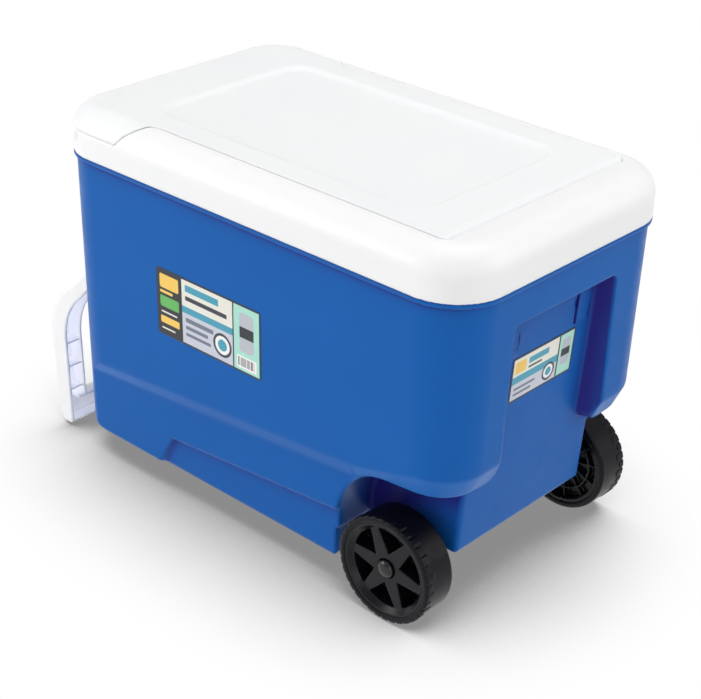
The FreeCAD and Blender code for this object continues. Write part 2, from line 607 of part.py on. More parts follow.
WINDOWS = 6
wheel_outline = [("@bushRadius", "@hubSetback"), ("@hubRadius", "@hubSetback"), ("@hubRadius", "@webLow"),
                 ("@rimSeat - @bandInner", "@webLow"), ("@rimSeat - @bandInner", "@wheelSetback"),
                 ("@rimSeat", "@wheelSetback"), ("@rimSeat", "@wheelWidth - @wheelSetback"),
                 ("@rimSeat - @bandOuter", "@wheelWidth - @wheelSetback"),
                 ("@rimSeat - @dishRun", "@webTop"), ("@hubSeat", "@webTop"), ("@hubSeat", "@hubTop"),
                 ("@bushRadius", "@hubTop")]
tyre_outline = [("@rimSeat", "0"), ("@axleZ - @tyreChamfer", "0"), ("@axleZ", "@tyreChamfer"),
                ("@axleZ", "@wheelWidth - @tyreChamfer"), ("@axleZ - @tyreChamfer", "@wheelWidth"),
                ("@rimSeat", "@wheelWidth")]
cap_dome = [(f"@capRadius * cos({angle} deg)", f"@capSkirt + (@capHeight - @capSkirt) * sin({angle} deg)")
            for angle in (0, 25, 50, 70)]
cap_outline = ([("@axleRadius", "0"), ("@capRadius", "0")] + cap_dome + [("0", "@capHeight")]
               + [("0", "@axleHalf - @capInner"), ("@axleRadius", "@axleHalf - @capInner")])


def add_windows(body, label):
    """Cuts the six hollows between a wheel's spokes, from its outer side down to the web."""
    doc.recompute()
    sketch = body.newObject("Sketcher::SketchObject", label + "_window")
    sketch.AttachmentSupport = [(origin_feature(body, "XY_Plane"), "")]
    sketch.MapMode = "FlatFace"
    sketch.setExpression("AttachmentOffset.Base.z", dims("@wheelWidth"))
    draw_polygon(sketch, [("@windowInner", "-@windowInnerHalf"), ("@windowOuter", "-@windowOuterHalf"),
                          ("@windowOuter", "@windowOuterHalf"), ("@windowInner", "@windowInnerHalf")])
    window = body.newObject("PartDesign::Pocket", label + "_window_cut")
    window.Profile = sketch
    window.setExpression("Length", dims("@wheelWidth - @webLow - @webThick"))
    pattern = body.newObject("PartDesign::PolarPattern", label + "_windows")
    pattern.Originals = [window]
    pattern.Axis = (origin_feature(body, "Z_Axis"), [""])
    pattern.Angle = 360
    pattern.Occurrences = WINDOWS
    body.Tip = pattern


for side, sign, facing in (("left", "1", ALONG_Y), ("right", "-1", ALONG_MINUS_Y)):
    add_windows(turned(f"wheel_{side}", wheel_outline, "@axleX", f"{sign} * @wheelInner", "@axleZ", facing),
                f"wheel_{side}")
    turned(f"tyre_{side}", tyre_outline, "@axleX", f"{sign} * @wheelInner", "@axleZ", facing)
    turned(f"wheel_bush_{side}", ring_outline("@bushBore", "@bushRadius", "@hubTop - @hubSetback"),
           "@axleX", f"{sign} * (@wheelInner + @hubSetback)", "@axleZ", facing)
    turned(f"axle_spacer_{side}", ring_outline("@axleRadius", "@axleRadius + @collarThick",
                                                 "@wheelInner + @hubSetback - @wheelPlay - @wellWall"),
           "@axleX", f"{sign} * @wellWall", "@axleZ", facing)
    turned(f"axle_washer_{side}", ring_outline("@axleRadius", "@axleRadius + @collarThick", "@washerThick"),
           "@axleX", f"{sign} * (@wheelInner + @hubTop + @wheelPlay)", "@axleZ", facing)
    turned(f"hub_cap_{side}", cap_outline, "@axleX", f"{sign} * @capInner", "@axleZ", facing)

# ---------------------------------------------------------------- labels

def label_plate(label, length, width, height, along, across, up, axis, tilt):
    """A thin plate that leans with the wall it is stuck to."""
    plate_box = doc.addObject("Part::Box", label + "_plate")
    plate_box.Placement = FreeCAD.Placement(FreeCAD.Vector(), FreeCAD.Rotation(axis, number(tilt)))
    bind(plate_box, Length=length, Width=width, Height=height,
         Placement__Base__y=across, Placement__Base__z=up)
    keep(label, plate_box, along)


side_wall = "@rimWidth / 2 - @wallInset - @draftSlope * (@rimLow - @sideLabelLow)"
label_plate("side_label", "@sideLabelLength", "@labelThick", "@sideLabelHeight", "@sideLabelX",
            f"-({side_wall}) - @labelThick", "@sideLabelLow", FreeCAD.Vector(1, 0, 0), "wallDraft")
label_plate("end_label", "@labelThick", "@endLabelLength", "@endLabelHeight",
            "@panelLow + @panelSlope * (@endLabelLow - @panelLowZ)", "-@endLabelLength / 2", "@endLabelLow",
            FreeCAD.Vector(0, 1, 0), "panelLean")

# ---------------------------------------------------------------- checks and files

doc.recompute()
for obj in doc.Objects:
    if "Invalid" in obj.State or "Error" in obj.State:
        raise RuntimeError(f"{obj.Name} failed: {obj.State}")
os.makedirs("parts", exist_ok=True)
for label, obj in nodes.items():
    shape = obj.Shape
    if shape.isNull() or not shape.isValid() or not shape.Solids:
        raise RuntimeError(f"{label} has no valid solid")
    shape.exportStep(f"parts/{label}.step")
    box = shape.BoundBox
    print(f"{label:22s} {len(shape.Solids)} solid(s) {shape.Volume / 1000:9.2f} cm3")
    print(f"  x {box.XMin:7.1f} {box.XMax:7.1f}  y {box.YMin:7.1f} {box.YMax:7.1f}  "
          f"z {box.ZMin:6.1f} {box.ZMax:6.1f}")
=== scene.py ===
import json
import math

import bmesh
import bpy
import numpy as np
from mathutils import Matrix, Vector


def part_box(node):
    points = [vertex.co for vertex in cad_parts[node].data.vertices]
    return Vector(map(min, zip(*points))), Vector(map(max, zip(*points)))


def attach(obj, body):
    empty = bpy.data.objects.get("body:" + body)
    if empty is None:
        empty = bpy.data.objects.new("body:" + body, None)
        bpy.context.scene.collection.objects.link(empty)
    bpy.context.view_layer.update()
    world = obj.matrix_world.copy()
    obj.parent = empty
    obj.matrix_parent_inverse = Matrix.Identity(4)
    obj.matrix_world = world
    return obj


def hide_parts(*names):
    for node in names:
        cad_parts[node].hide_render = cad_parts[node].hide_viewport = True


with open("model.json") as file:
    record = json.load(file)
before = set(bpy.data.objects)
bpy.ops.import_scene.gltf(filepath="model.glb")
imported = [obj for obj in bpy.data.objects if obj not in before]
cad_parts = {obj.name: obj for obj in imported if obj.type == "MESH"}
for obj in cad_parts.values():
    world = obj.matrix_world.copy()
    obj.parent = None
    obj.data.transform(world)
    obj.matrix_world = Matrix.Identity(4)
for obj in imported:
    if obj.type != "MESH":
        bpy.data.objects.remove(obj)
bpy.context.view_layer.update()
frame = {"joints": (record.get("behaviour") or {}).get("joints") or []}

# ---------------------------------------------------------------- Outer shell
# The blue tub of the cooler: one blow-moulded polyethylene skin round foam, with a drafted wall under a
# bead, a band where the lower wall steps in, wheel wells, a hand hold between two corner pillars at the
# wheel end, pockets for the tow handle's legs and two feet. The mould's grain leaves it satin.

shell_low, shell_high = (np.array(corner) * 1000 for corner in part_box("outer_shell"))
SHIFT = (shell_low[0] + shell_high[0]) / 2
HALF_LONG = (shell_high[0] - shell_low[0]) / 2
HALF_WIDE = (shell_high[1] - shell_low[1]) / 2
RIM_LOW = shell_high[2]
RIM_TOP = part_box("inner_liner")[1].z * 1000
AXLE_X = sum(corner.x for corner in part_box("axle")) * 500 - SHIFT
AXLE_Z = sum(corner.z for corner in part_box("axle")) * 500


def meet(a, b, r=0.0):
    """What two solids share, given as distances: the larger one, with the edge rounded by a circle of
    radius r."""
    if r <= 0:
        return np.maximum(a, b)
    return np.minimum(np.maximum(a, b), -r) + np.hypot(np.maximum(a + r, 0), np.maximum(b + r, 0))


def join(a, b, r=0.0):
    """Two solids together: the smaller distance, with a fillet of radius r in the corner between them."""
    return -meet(-a, -b, r)


def less(a, b, r=0.0):
    """The first solid without the second, its new edge rounded by r."""
    return meet(a, -b, r)


def oblong(x, y, half_x, half_y, r):
    """Distance to a rectangle with corner radius r: that of the inner rectangle's corner point, less r."""
    u, v = np.abs(x) - (half_x - r), np.abs(y) - (half_y - r)
    return np.hypot(np.maximum(u, 0), np.maximum(v, 0)) + np.minimum(np.maximum(u, v), 0) - r


def spaced(*spans):
    """Grid lines from a start, then pairs of end and step, each span divided evenly."""
    lines, start = [np.array([spans[0]], float)], spans[0]
    for end, step in zip(spans[1::2], spans[2::2]):
        lines.append(np.linspace(start, end, max(1, round((end - start) / step)) + 1)[1:])
        start = end
    return np.concatenate(lines)


def slope_of(formula, points, reach=0.15):
    """Unit normals of a distance formula: its differences over a short reach along each axis."""
    steps = np.eye(3) * reach
    found = np.stack([formula(*(points + s).T) - formula(*(points - s).T) for s in steps], 1)
    return found / np.maximum(np.linalg.norm(found, axis=1, keepdims=True), 1e-9)


def skin(formula, xs, ys, zs):
    """The surface where a distance formula is zero, over a grid of cells. Every cell that the surface
    passes through gets one point: the mean of its crossed edges, drawn onto the surface, or beside a sharp
    edge the place where the planes through them meet best. Every crossed edge becomes the face between
    its four cells. Returns points and faces."""
    grid = formula(xs[:, None, None], ys[None, :, None], zs[None, None, :])
    grid = np.broadcast_to(grid, (len(xs), len(ys), len(zs)))
    inside = grid < 0
    shape = np.array(grid.shape)
    cells = np.zeros(shape - 1, np.int8)
    for i, j, k in np.ndindex(2, 2, 2):
        cells += inside[i:shape[0] - 1 + i, j:shape[1] - 1 + j, k:shape[2] - 1 + k]
    active = np.nonzero((cells > 0) & (cells < 8))
    number = np.full(shape - 1, -1, np.int64)
    number[active] = np.arange(len(active[0]))
    total = len(active[0])
    sums = np.zeros((total, 16))
    faces = []
    lines = (xs, ys, zs)
    for axis in range(3):
        first = [slice(None)] * 3
        second = [slice(None)] * 3
        first[axis], second[axis] = slice(0, -1), slice(1, None)
        a, b = grid[tuple(first)], grid[tuple(second)]
        at = np.array(np.nonzero((a < 0) != (b < 0)))
        fa, fb = a[tuple(at)], b[tuple(at)]
        ends = at.copy()
        ends[axis] += 1
        p = np.stack([lines[n][at[n]] for n in range(3)], 1).astype(float)
        q = np.stack([lines[n][ends[n]] for n in range(3)], 1).astype(float)
        points = p + (q - p) * (fa / (fa - fb))[:, None]
        normal = slope_of(formula, points)
        reach = (normal * points).sum(1)
        terms = np.concatenate([normal[:, [0]] * normal, normal[:, [1]] * normal[:, 1:], normal[:, 2:] ** 2,
                                normal * reach[:, None], points, np.ones((len(points), 1)), normal], 1)
        u, v = (axis + 1) % 3, (axis + 2) % 3
        ring = []
        for du, dv in ((-1, -1), (0, -1), (0, 0), (-1, 0)):
            cell = at.copy()
            cell[u] += du
            cell[v] += dv
            ring.append(number[tuple(cell)])
        for cell in ring:
            for n in range(16):
                sums[:, n] += np.bincount(cell, terms[:, n], total)
        quads = np.stack(ring, 1)
        quads[fa > 0] = quads[fa > 0][:, ::-1]
        faces.append(quads)
    centre = sums[:, 9:12] / sums[:, 12:13]
    square = sums[:, [0, 1, 2, 1, 3, 4, 2, 4, 5]].reshape(-1, 3, 3)
    right = sums[:, 6:9] - np.einsum("nij,nj->ni", square, centre)
    soften = 0.04 * sums[:, 12, None, None] * np.eye(3)
    points = centre + np.linalg.solve(square + soften, right[:, :, None])[:, :, 0]
    for n in range(3):
        low, high = lines[n][active[n]], lines[n][active[n] + 1]
        points[:, n] = np.clip(points[:, n], low, high)
    smooth = np.linalg.norm(sums[:, 13:], axis=1) > 0.97 * sums[:, 12]
    near = centre[smooth]
    points[smooth] = near - formula(*near.T)[:, None] * slope_of(formula, near)
    return points, np.concatenate(faces)


def mesh_piece(name, points, faces, normals=None):
    """A mesh object from points in body millimetres, moved to the frame's origin and turned to metres."""
    mesh = bpy.data.meshes.new(name)
    if isinstance(faces, np.ndarray):
        faces = faces.tolist()
    mesh.from_pydata(((points + (SHIFT, 0, 0)) / 1000).tolist(), [], faces)
    mesh.polygons.foreach_set("use_smooth", np.full(len(mesh.polygons), True))
    if normals is not None:
        mesh.normals_split_custom_set_from_vertices(normals.tolist())
    mesh.update()
    piece = bpy.data.objects.new(name, mesh)
    bpy.context.scene.collection.objects.link(piece)
    return piece


def moulded(name, formula, xs, ys, zs):
    """A moulded piece: the skin of a distance formula, shaded with that formula's own normals."""
    points, faces = skin(formula, xs, ys, zs)
    return mesh_piece(name, points, faces, slope_of(formula, points))


def tint(code):
    """An sRGB hex colour as linear red, green, blue and alpha."""
    parts = [int(code[i:i + 2], 16) / 255 for i in (1, 3, 5)]
    return [p / 12.92 if p <= 0.04045 else ((p + 0.055) / 1.055) ** 2.4 for p in parts] + [1.0]


def put(tree, kind, links=(), values=(), **settings):
    """Adds a node with its settings, its input values and its links, and returns it."""
    node = tree.nodes.new(kind)
    for key, value in settings.items():
        setattr(node, key, value)
    for key, value in dict(values).items():
        node.inputs[key].default_value = value
    for key, source in dict(links).items():
        tree.links.new(source, node.inputs[key])
    return node


RECESS_REACH = 0.07


def plastic(name, light, dark, roughness, grain_mm, grain, patch_mm=70, wear=0.06, specular=0.5, depth_mm=0.0,
            painted_shade=None, under=None, through=0.0):
    """A moulded plastic: a faint cloudiness in the colour over patch_mm, mould grain of grain_mm as bump,
    and roughness that wanders a little from place to place, as handled plastic does. Unpigmented walls let
    light wander depth_mm deep inside them. The last three are painted light and shade, not the plastic's:
    the first a darker colour painted into deep recesses as shade, soonest on their flanks, the second a
    paler one painted as light where the surface faces the ground, most towards the handle end, and the
    third a faint painted glow inside channels, in place of the light that thin walls pass on."""
    material = bpy.data.materials.new(name)
    material.use_nodes = True
    tree = material.node_tree
    shader = tree.nodes["Principled BSDF"]
    place = put(tree, "ShaderNodeTexCoord").outputs["Object"]
    cloud = put(tree, "ShaderNodeTexNoise", {"Vector": place}, {"Scale": 1000 / patch_mm, "Detail": 3.0})
    mix = put(tree, "ShaderNodeMix", {0: cloud.outputs["Fac"]}, {6: tint(dark), 7: tint(light)},
              data_type="RGBA")
    tree.links.new(mix.outputs[2], shader.inputs["Base Color"])
    rub = put(tree, "ShaderNodeTexNoise", {"Vector": place}, {"Scale": 1000 / (patch_mm / 4), "Detail": 4.0})
    spread = put(tree, "ShaderNodeMapRange", {"Value": rub.outputs["Fac"]},
                 {"From Min": 0.3, "From Max": 0.7, "To Min": roughness - wear, "To Max": roughness + wear})
    tree.links.new(spread.outputs["Result"], shader.inputs["Roughness"])
    pits = put(tree, "ShaderNodeTexNoise", {"Vector": place}, {"Scale": 1000 / grain_mm, "Detail": 2.0})
    bump = put(tree, "ShaderNodeBump", {"Height": pits.outputs["Fac"]},
               {"Strength": grain, "Distance": 0.0004})
    tree.links.new(bump.outputs["Normal"], shader.inputs["Normal"])
    shader.inputs["IOR"].default_value = 1.49
    shader.inputs["Specular IOR Level"].default_value = specular
    cover = put(tree, "ShaderNodeAmbientOcclusion", values={"Distance": RECESS_REACH}, samples=12,
                only_local=True)
    # painted light and shade: a paler colour on faces turned to the ground, a darker one in recesses
    if painted_shade:
        facing = put(tree, "ShaderNodeSeparateXYZ",
                     {"Vector": put(tree, "ShaderNodeTexCoord").outputs["Normal"]})
        along = put(tree, "ShaderNodeSeparateXYZ", {"Vector": place})
        share = put(tree, "ShaderNodeMapRange", {"Value": along.outputs["X"]},
                    {"From Min": -0.29, "From Max": -0.02, "To Min": 0.58, "To Max": 0.16})
        low = put(tree, "ShaderNodeMapRange",
                  {"Value": facing.outputs["Z"], "To Max": share.outputs["Result"]},
                  {"From Min": -0.16, "From Max": -0.42, "To Min": 0.0})
        lit = put(tree, "ShaderNodeMix", {0: low.outputs["Result"], 6: mix.outputs[2]}, {7: tint(under)},
                  data_type="RGBA")
        lack = put(tree, "ShaderNodeMath", {1: cover.outputs["AO"]}, {0: 1.0}, operation="SUBTRACT")
        turned = put(tree, "ShaderNodeMath", {0: facing.outputs["Y"]}, operation="ABSOLUTE")
        weight = put(tree, "ShaderNodeMath", {0: turned.outputs[0]}, {1: 1.6, 2: 1.0},
                     operation="MULTIPLY_ADD")
        shade = put(tree, "ShaderNodeMath", {0: lack.outputs[0], 1: weight.outputs[0]}, operation="MULTIPLY")
        closed_in = put(tree, "ShaderNodeMapRange", {"Value": shade.outputs[0]},
                        {"From Min": 0.06, "From Max": 0.52, "To Min": 0.0, "To Max": 1.0})
        deep = put(tree, "ShaderNodeMix", {0: closed_in.outputs["Result"], 6: lit.outputs[2]},
                   {7: tint(painted_shade)}, data_type="RGBA")
        tree.links.new(deep.outputs[2], shader.inputs["Base Color"])
    # a painted glow: the plastic emits light inside its channels, though it is no lamp
    if through:
        painted_glow = put(tree, "ShaderNodeMapRange", {"Value": cover.outputs["AO"]},
                     {"From Min": 0.85, "From Max": 0.3, "To Min": 0.0, "To Max": through})
        shader.inputs["Emission Color"].default_value = tint("#f1f2ff")
        tree.links.new(painted_glow.outputs["Result"], shader.inputs["Emission Strength"])
    if depth_mm:
        shader.inputs["Subsurface Weight"].default_value = 1.0
        shader.inputs["Subsurface Radius"].default_value = (1.0, 1.0, 1.0)
        shader.inputs["Subsurface Scale"].default_value = depth_mm / 1000
    return material


# polyethylene with a fine spark-eroded grain: broad soft highlights, deep blue that pales where it shines
# the navy is painted shade in recesses, and the pale blue painted light on faces turned to the ground
blue_polyethylene = plastic("blue_polyethylene", "#135fae", "#115ba9", 0.34, 1.3, 0.04, specular=0.10,
                            painted_shade="#26247c", under="#5a94dc")

# the bead's height, the wall's set-back under it and its draft per millimetre of height
BEAD, INSET, DRAFT = 5.0, 3.2, 0.01903
BASE_LOW, BAY_TOP = 32.0, 66.0
# the band along the side: its height at its handle end, its rise, and how far it steps in
BAND_START, BAND_RISE, STEP_IN = 100.7, 0.0878, 5.0
WELL_WALL, PILLAR_LOW, SKIRT_TOP = 102.5, 152.0, 178.0
# the end panel: its place at the top of the bay and its lean
PANEL_X, PANEL_LEAN = 242.0, 0.0615
RIM_CORNER = 58.0


def wall_drop(z):
    """How far the drafted wall lies inside the rim at height z."""
    return INSET + DRAFT * (RIM_LOW - z)


def panel_at(z):
    """Where the leaning end panel stands at height z."""
    return PANEL_X + PANEL_LEAN * (z - BAY_TOP)


SKIRT_DROP = wall_drop(SKIRT_TOP)


def cavity_space(x, y, z, grow, top):
    """The cold space grown outwards: a round-cornered well whose floor steps up over the axle."""
    plan = oblong(x + 18, y, 214 + grow, 130 + grow, 45 + grow)
    floors = join(180 - grow - z, meet(75 - grow - z, x - 115 - grow, 8), 8)
    return meet(meet(plan, floors, 12), z - top)


def shell_form(x, y, z):
    """The shell: a drafted tub and its bead, less the stepped lower wall, the wells, the hand hold before
    the end panel, the handle pockets and the cold space, with feet and axle bosses joined on."""
    side = np.abs(y)
    drop = wall_drop(z)
    tub = meet(oblong(x, y, HALF_LONG - drop, HALF_WIDE - drop, RIM_CORNER - drop), BASE_LOW - z, 7)

    band_wall = HALF_WIDE - wall_drop(116.7) - STEP_IN
    band_line = BAND_START + (x + 300) * BAND_RISE
    facet = meet(band_wall - side, (z - band_line - (side - band_wall) * 2.9) * 0.326, 1)
    tub = less(tub, facet, 0.9)
    wedge_line = 67 + (x + 111) * 0.0875
    wedge_depth = side - band_wall + 5
    wedge = meet(meet(-wedge_depth, (z - wedge_line - wedge_depth * 0.7) * 0.82, 1),
                 (-111 - (67 - z) * 0.55 - wedge_depth * 0.8 - x) * 0.73, 1)
    tub = less(tub, wedge, 0.9)

    skirt_top = np.minimum(156 + (x - 150) * 0.27, SKIRT_TOP)
    skirt_depth = np.clip(skirt_top - z, -60, np.clip(11.4 + (x - 150) * 0.35, 11.4, 28))
    skirt_wall = oblong(x, y, HALF_LONG - SKIRT_DROP, HALF_WIDE - SKIRT_DROP, RIM_CORNER - SKIRT_DROP)
    tub = less(tub, meet(-(skirt_wall + skirt_depth * 0.44) * 0.915, 150 - x, 2), 1.2)
    tub = less(tub, meet(z - BAY_TOP, 125 - x, 3), 3)
    arch = (np.hypot(np.minimum(x - 191, 0) / 62, np.maximum(z - 80, 0) / 72) - 1) * 67
    tub = less(tub, meet(WELL_WALL - side, arch, 4), 3.2)
    bead_height = np.abs(z - RIM_LOW + BEAD / 2) - BEAD / 2
    tub = join(tub, meet(oblong(x, y, HALF_LONG, HALF_WIDE, RIM_CORNER), bead_height, 1.6), 0.8)

    proud = x - panel_at(z)
    flank = (side - 73.5 - proud * 0.36) * 0.94
    hand_hold = join(meet(flank, z - 324, 6), z - PILLAR_LOW, 12)
    pad = meet(meet(46 - side, side - 66, 0.5), meet(274 - z, proud - 1.4, 0.5), 0.5)
    tub = less(tub, meet(-proud, z - 138), 6)
    tub = less(tub, meet(meet(-proud, hand_hold, 2), -pad, 0.8), 1.5)
    slit = meet(meet(np.abs(y - 45) - 0.7, np.abs(z - 297) - 23, 0.4), -proud - 2.5)
    tub = less(tub, slit, 0.3)

    pocket = meet(x + 233, oblong(side - 130.5, z - 234, 16.5, 56, 8), 5)
    tub = less(tub, pocket, 3)
    foot = meet(oblong(x + 195, side - 71.5, 30, 26.5, 9), np.abs(z - 20) - 20, 4)
    boss = meet(meet(np.abs(x - AXLE_X) - 14, np.abs(side - 92.8) - 9.6, 3), np.abs(z - 60) - 14, 3)
    tub = join(join(tub, foot, 4), boss, 2)
    return less(meet(tub, z - RIM_LOW, 1), cavity_space(x, y, z, 3, 400.0), 2)


shell = moulded("shell", shell_form,
                spaced(-286, -234, 3.2, -222, 2, -200, 3, -184, 1.5, -134, 7, -108, 2.4, 112, 9, 206, 3.4,
                       238, 4.2, 290, 2.4),
                spaced(-172, -136, 2.6, -110, 4.2, -96, 2, -78, 3.3, -62, 2.2, 43.4, 8, 46.6, 0.5, 78, 2.2,
                       96, 3.3, 110, 2, 136, 4.2, 172, 2.6),
                spaced(-3, 6, 3, 28, 5.5, 60, 3.0, 92, 2.3, 106, 3.5, 158, 2.4, 182, 3.4, 268, 11, 280, 2,
                       330, 3.4, 357, 6, 370, 1.7))
shell.data.materials.append(blue_polyethylene)
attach(shell, "cooler_body")
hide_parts("outer_shell")

# ---------------------------------------------------------------- Cold-space liner
# The white inner tub that holds the ice: a vacuum-formed polystyrene sheet, glossy, with a raised floor
# over the axle and generous corner radii. It hangs from the rim and the foam backs it all round.

# polystyrene sheet: smooth and a shade cool, shinier than the lid
white_polystyrene = plastic("white_polystyrene", "#f0f1f5", "#ecedf2", 0.24, 2.4, 0.02, patch_mm=90,
                            wear=0.03)


def lofted(rows, arc=10):
    """A stack of round-cornered rectangles. Each row gives low x, high x, half width, corner radius and
    height; every outline is walked with the same number of points, arc of them to a corner, so that the
    rows join in one grid. Returns points, faces and the number of points in a row."""
    rows = np.array(rows, float)
    quarter = np.linspace(0, math.pi / 2, arc)
    angle = np.concatenate([quarter + turn * math.pi / 2 for turn in range(4)])
    x0, x1, half, r, z = (rows[:, n, None] for n in range(5))
    r = np.minimum(r, np.minimum(half, (x1 - x0) / 2) - 0.01)
    east = np.repeat([1, 0, 0, 1], arc)
    north = np.repeat([1, 1, -1, -1], arc)
    px = np.where(east, x1 - r, x0 + r) + r * np.cos(angle)
    py = north * (half - r) + r * np.sin(angle)
    points = np.stack([px, py, np.broadcast_to(z, px.shape)], 2)
    count = px.shape[1]
    i, j = np.meshgrid(np.arange(len(rows) - 1), np.arange(count), indexing="ij")
    k = (j + 1) % count
    faces = np.stack([i * count + j, i * count + k, (i + 1) * count + k, (i + 1) * count + j], -1)
    return points.reshape(-1, 3), faces.reshape(-1, 4), count


def capped(points, faces, count):
    """Closes the last outline of a loft with a fan to its middle."""
    last = np.arange(len(points) - count, len(points))
    middle = points[last].mean(0)
    fan = np.stack([last, np.roll(last, -1), np.full(count, len(points))], 1)
    return np.concatenate([points, middle[None]]), faces.tolist() + fan.tolist()


turn_in = np.linspace(0, math.pi / 2, 6)


def rounded_rows(low, high, half, radius, floor_z, turn_r):
    """Rows that turn a wall into a floor: a quarter circle of radius turn_r down to floor_z."""
    rows = []
    for t in turn_in:
        inset = turn_r * (1 - math.cos(t))
        rows.append((low + inset, high - inset, half - inset, max(radius - inset, 2),
                     floor_z + turn_r * (1 - math.sin(t))))
    return rows


DEEP_END = 115
SHEET_MM = 2.8
liner_rows = [(-232, 196, 130, 45, z) for z in (388, 380, 330, 280, 230, 196)]
liner_rows += [(-232, 196 - 12 * (1 - math.cos(t)), 130, 45, 180 + 12 * (1 - math.sin(t))) for t in turn_in]
liner_rows += [(-232, x, 130, 45, 180) for x in (170, 150, 135)]
liner_rows += [(-232, DEEP_END + 8 * (1 - math.sin(t)), 130, 45 - 21 * math.sin(t),
                180 - 8 * (1 - math.cos(t))) for t in turn_in]
liner_rows += [(-232, DEEP_END, 130, 24, z) for z in (160, 130, 100)]
liner_rows += rounded_rows(-232, DEEP_END, 130, 24, 75, 12)
liner_rows += [(-200, 85, 90, 12, 75), (-150, 40, 45, 8, 75)]
points, faces, count = lofted(liner_rows)
points, faces = capped(points, faces, count)
liner = mesh_piece("liner", points, [face[::-1] for face in faces])
liner.data.materials.append(white_polystyrene)
wall = liner.modifiers.new("sheet", "SOLIDIFY")
wall.thickness = SHEET_MM / 1000
wall.offset = -1
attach(liner, "cooler_body")
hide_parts("inner_liner")

# ---------------------------------------------------------------- Rim
# The white U-shaped rim: glossy moulded polypropylene with a broad soft shoulder, snapped over the
# shell's bead. The lid lies inside it and it dips at the handle end, where the lid's lip lies over it.

# polypropylene, gate-polished: a cool white that keeps soft, clear highlights along the shoulder
white_polypropylene = plastic("white_polypropylene", "#f7f9fe", "#f5f7fd", 0.34, 2.0, 0.015, patch_mm=90,
                              wear=0.02, specular=0.4, depth_mm=2.5)

LEDGE, SHOULDER = 393.5, 28.0
LID_AXIS_X, LID_AXIS_Z = 226.0, 407.0
# the cradle's radius in the rim, the hinge edge's on the lid, and the play between lid and rim at rest
CRADLE_R, HINGE_EDGE_R, LID_PLAY = 10.3, 9.5, 0.3


def rim_block(x, y, z):
    """The rim and the lid's tongue as one block: an oblong with a broad rounded shoulder."""
    return meet(oblong(x, y, HALF_LONG, HALF_WIDE, RIM_CORNER), z - RIM_TOP, SHOULDER)


def tongue_edge(x, z, gap):
    """Where the tongue ends: a line that leaves the ledge steeply and flattens out into the rim's top."""
    run = np.clip((x + 178 + gap) / 44, 0, 1)
    rise = (RIM_TOP - LEDGE + 1.5) * (1 - (1 - run) ** 2.3)
    return (LEDGE + rise + gap - z) * (0.62 + 0.38 * run)


def lid_outline(x, y, z, gap):
    """The lid's own space in the rim: the bed between the sides joined to the tongue."""
    bed = meet(np.abs(y) - 136.5 + gap, x - 236.4 + gap, 11)
    return meet(join(bed, tongue_edge(x, z, gap), 9), LEDGE + gap - z, 1)


def rim_form(x, y, z):
    """The rim: its block without the lid's space and the mouth, with a cradle for the lid's round hinge
    edge and a finger groove under the lip."""
    form = meet(rim_block(x, y, z), RIM_LOW - z, 1.2)
    cradle = np.hypot(x - LID_AXIS_X, np.minimum(z - LID_AXIS_Z, 0)) - CRADLE_R
    form = less(form, meet(lid_outline(x, y, z, 0), join(x - LID_AXIS_X, cradle)), 1.4)
    form = less(form, oblong(x + 18, y, 214, 130, 45), 3)
    groove = np.hypot(oblong(x, y, HALF_LONG + 3.5, HALF_WIDE + 3.5, 61), (z - 390) * 0.8) - 9.5
    return less(form, meet(groove, x + 238, 9), 2)


rim = moulded("rim", rim_form,
              spaced(-286, -238, 2.6, -226, 1.5, -182, 3, -126, 2.2, 184, 7, 190, 3, 202, 1.5, 212, 3.3,
                     228, 3, 242, 1.3, 286, 3),
              spaced(-172, -150, 2.6, -142, 2.2, -133, 1.2, -118, 2.8, 118, 9, 133, 2.8, 142, 1.2, 150, 2.2,
                     172, 2.6),
              spaced(363, 370, 1.2, 386, 3, 397, 1.5, 420, 1.5))
rim.data.materials.append(white_polypropylene)
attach(rim, "cooler_body")
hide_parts("inner_liner", "foam_core")

# ---------------------------------------------------------------- Lid
# The flat insulated lid: a moulded top with a shallow tray, a rounded hinge edge and a full-width lip at
# the handle end, snapped over a pale underside whose plug hangs into the mouth. Its top is grained.

# polypropylene with a coarse leather-like grain that scatters the light, so that it looks matte and greyer
grained_polypropylene = plastic("grained_polypropylene", "#f5f6f8", "#f2f3f6", 0.50, 1.6, 0.30, patch_mm=110,
                                depth_mm=2.5)

TRAY_FLOOR = RIM_TOP - 4.5


def lid_form(x, y, z):
    """The lid: the rim's block inside its own outline, with a round hinge edge, less the tray."""
    edge = np.hypot(x - LID_AXIS_X, z - LID_AXIS_Z) - HINGE_EDGE_R
    body = meet(lid_outline(x, y, z, LID_PLAY), join(x - LID_AXIS_X, edge))
    form = meet(rim_block(x, y, z), body, 1.6)
    tray = meet((oblong(x + 3, y, 182, 108, 27) + RIM_TOP - z) * 0.71, TRAY_FLOOR - z, 3)
    return less(form, tray, 2.2)


lid = moulded("lid", lid_form,
              spaced(-286, -238, 2.8, -190, 3, -164, 1.8, -128, 2.6, 136, 6, 184, 1.8, 216, 5, 240, 1.4),
              spaced(-172, -140, 2.4, -132, 1.2, -110, 2.6, -98, 1.5, -66, 2.6, 66, 7, 98, 2.6, 110, 1.5,
                     132, 2.6, 140, 1.2, 172, 2.4),
              spaced(390, 397, 1.5, 408, 2.4, 419, 1.1))
lid.data.materials.append(grained_polypropylene)
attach(lid, "lid")
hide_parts("lid_top", "lid_foam")

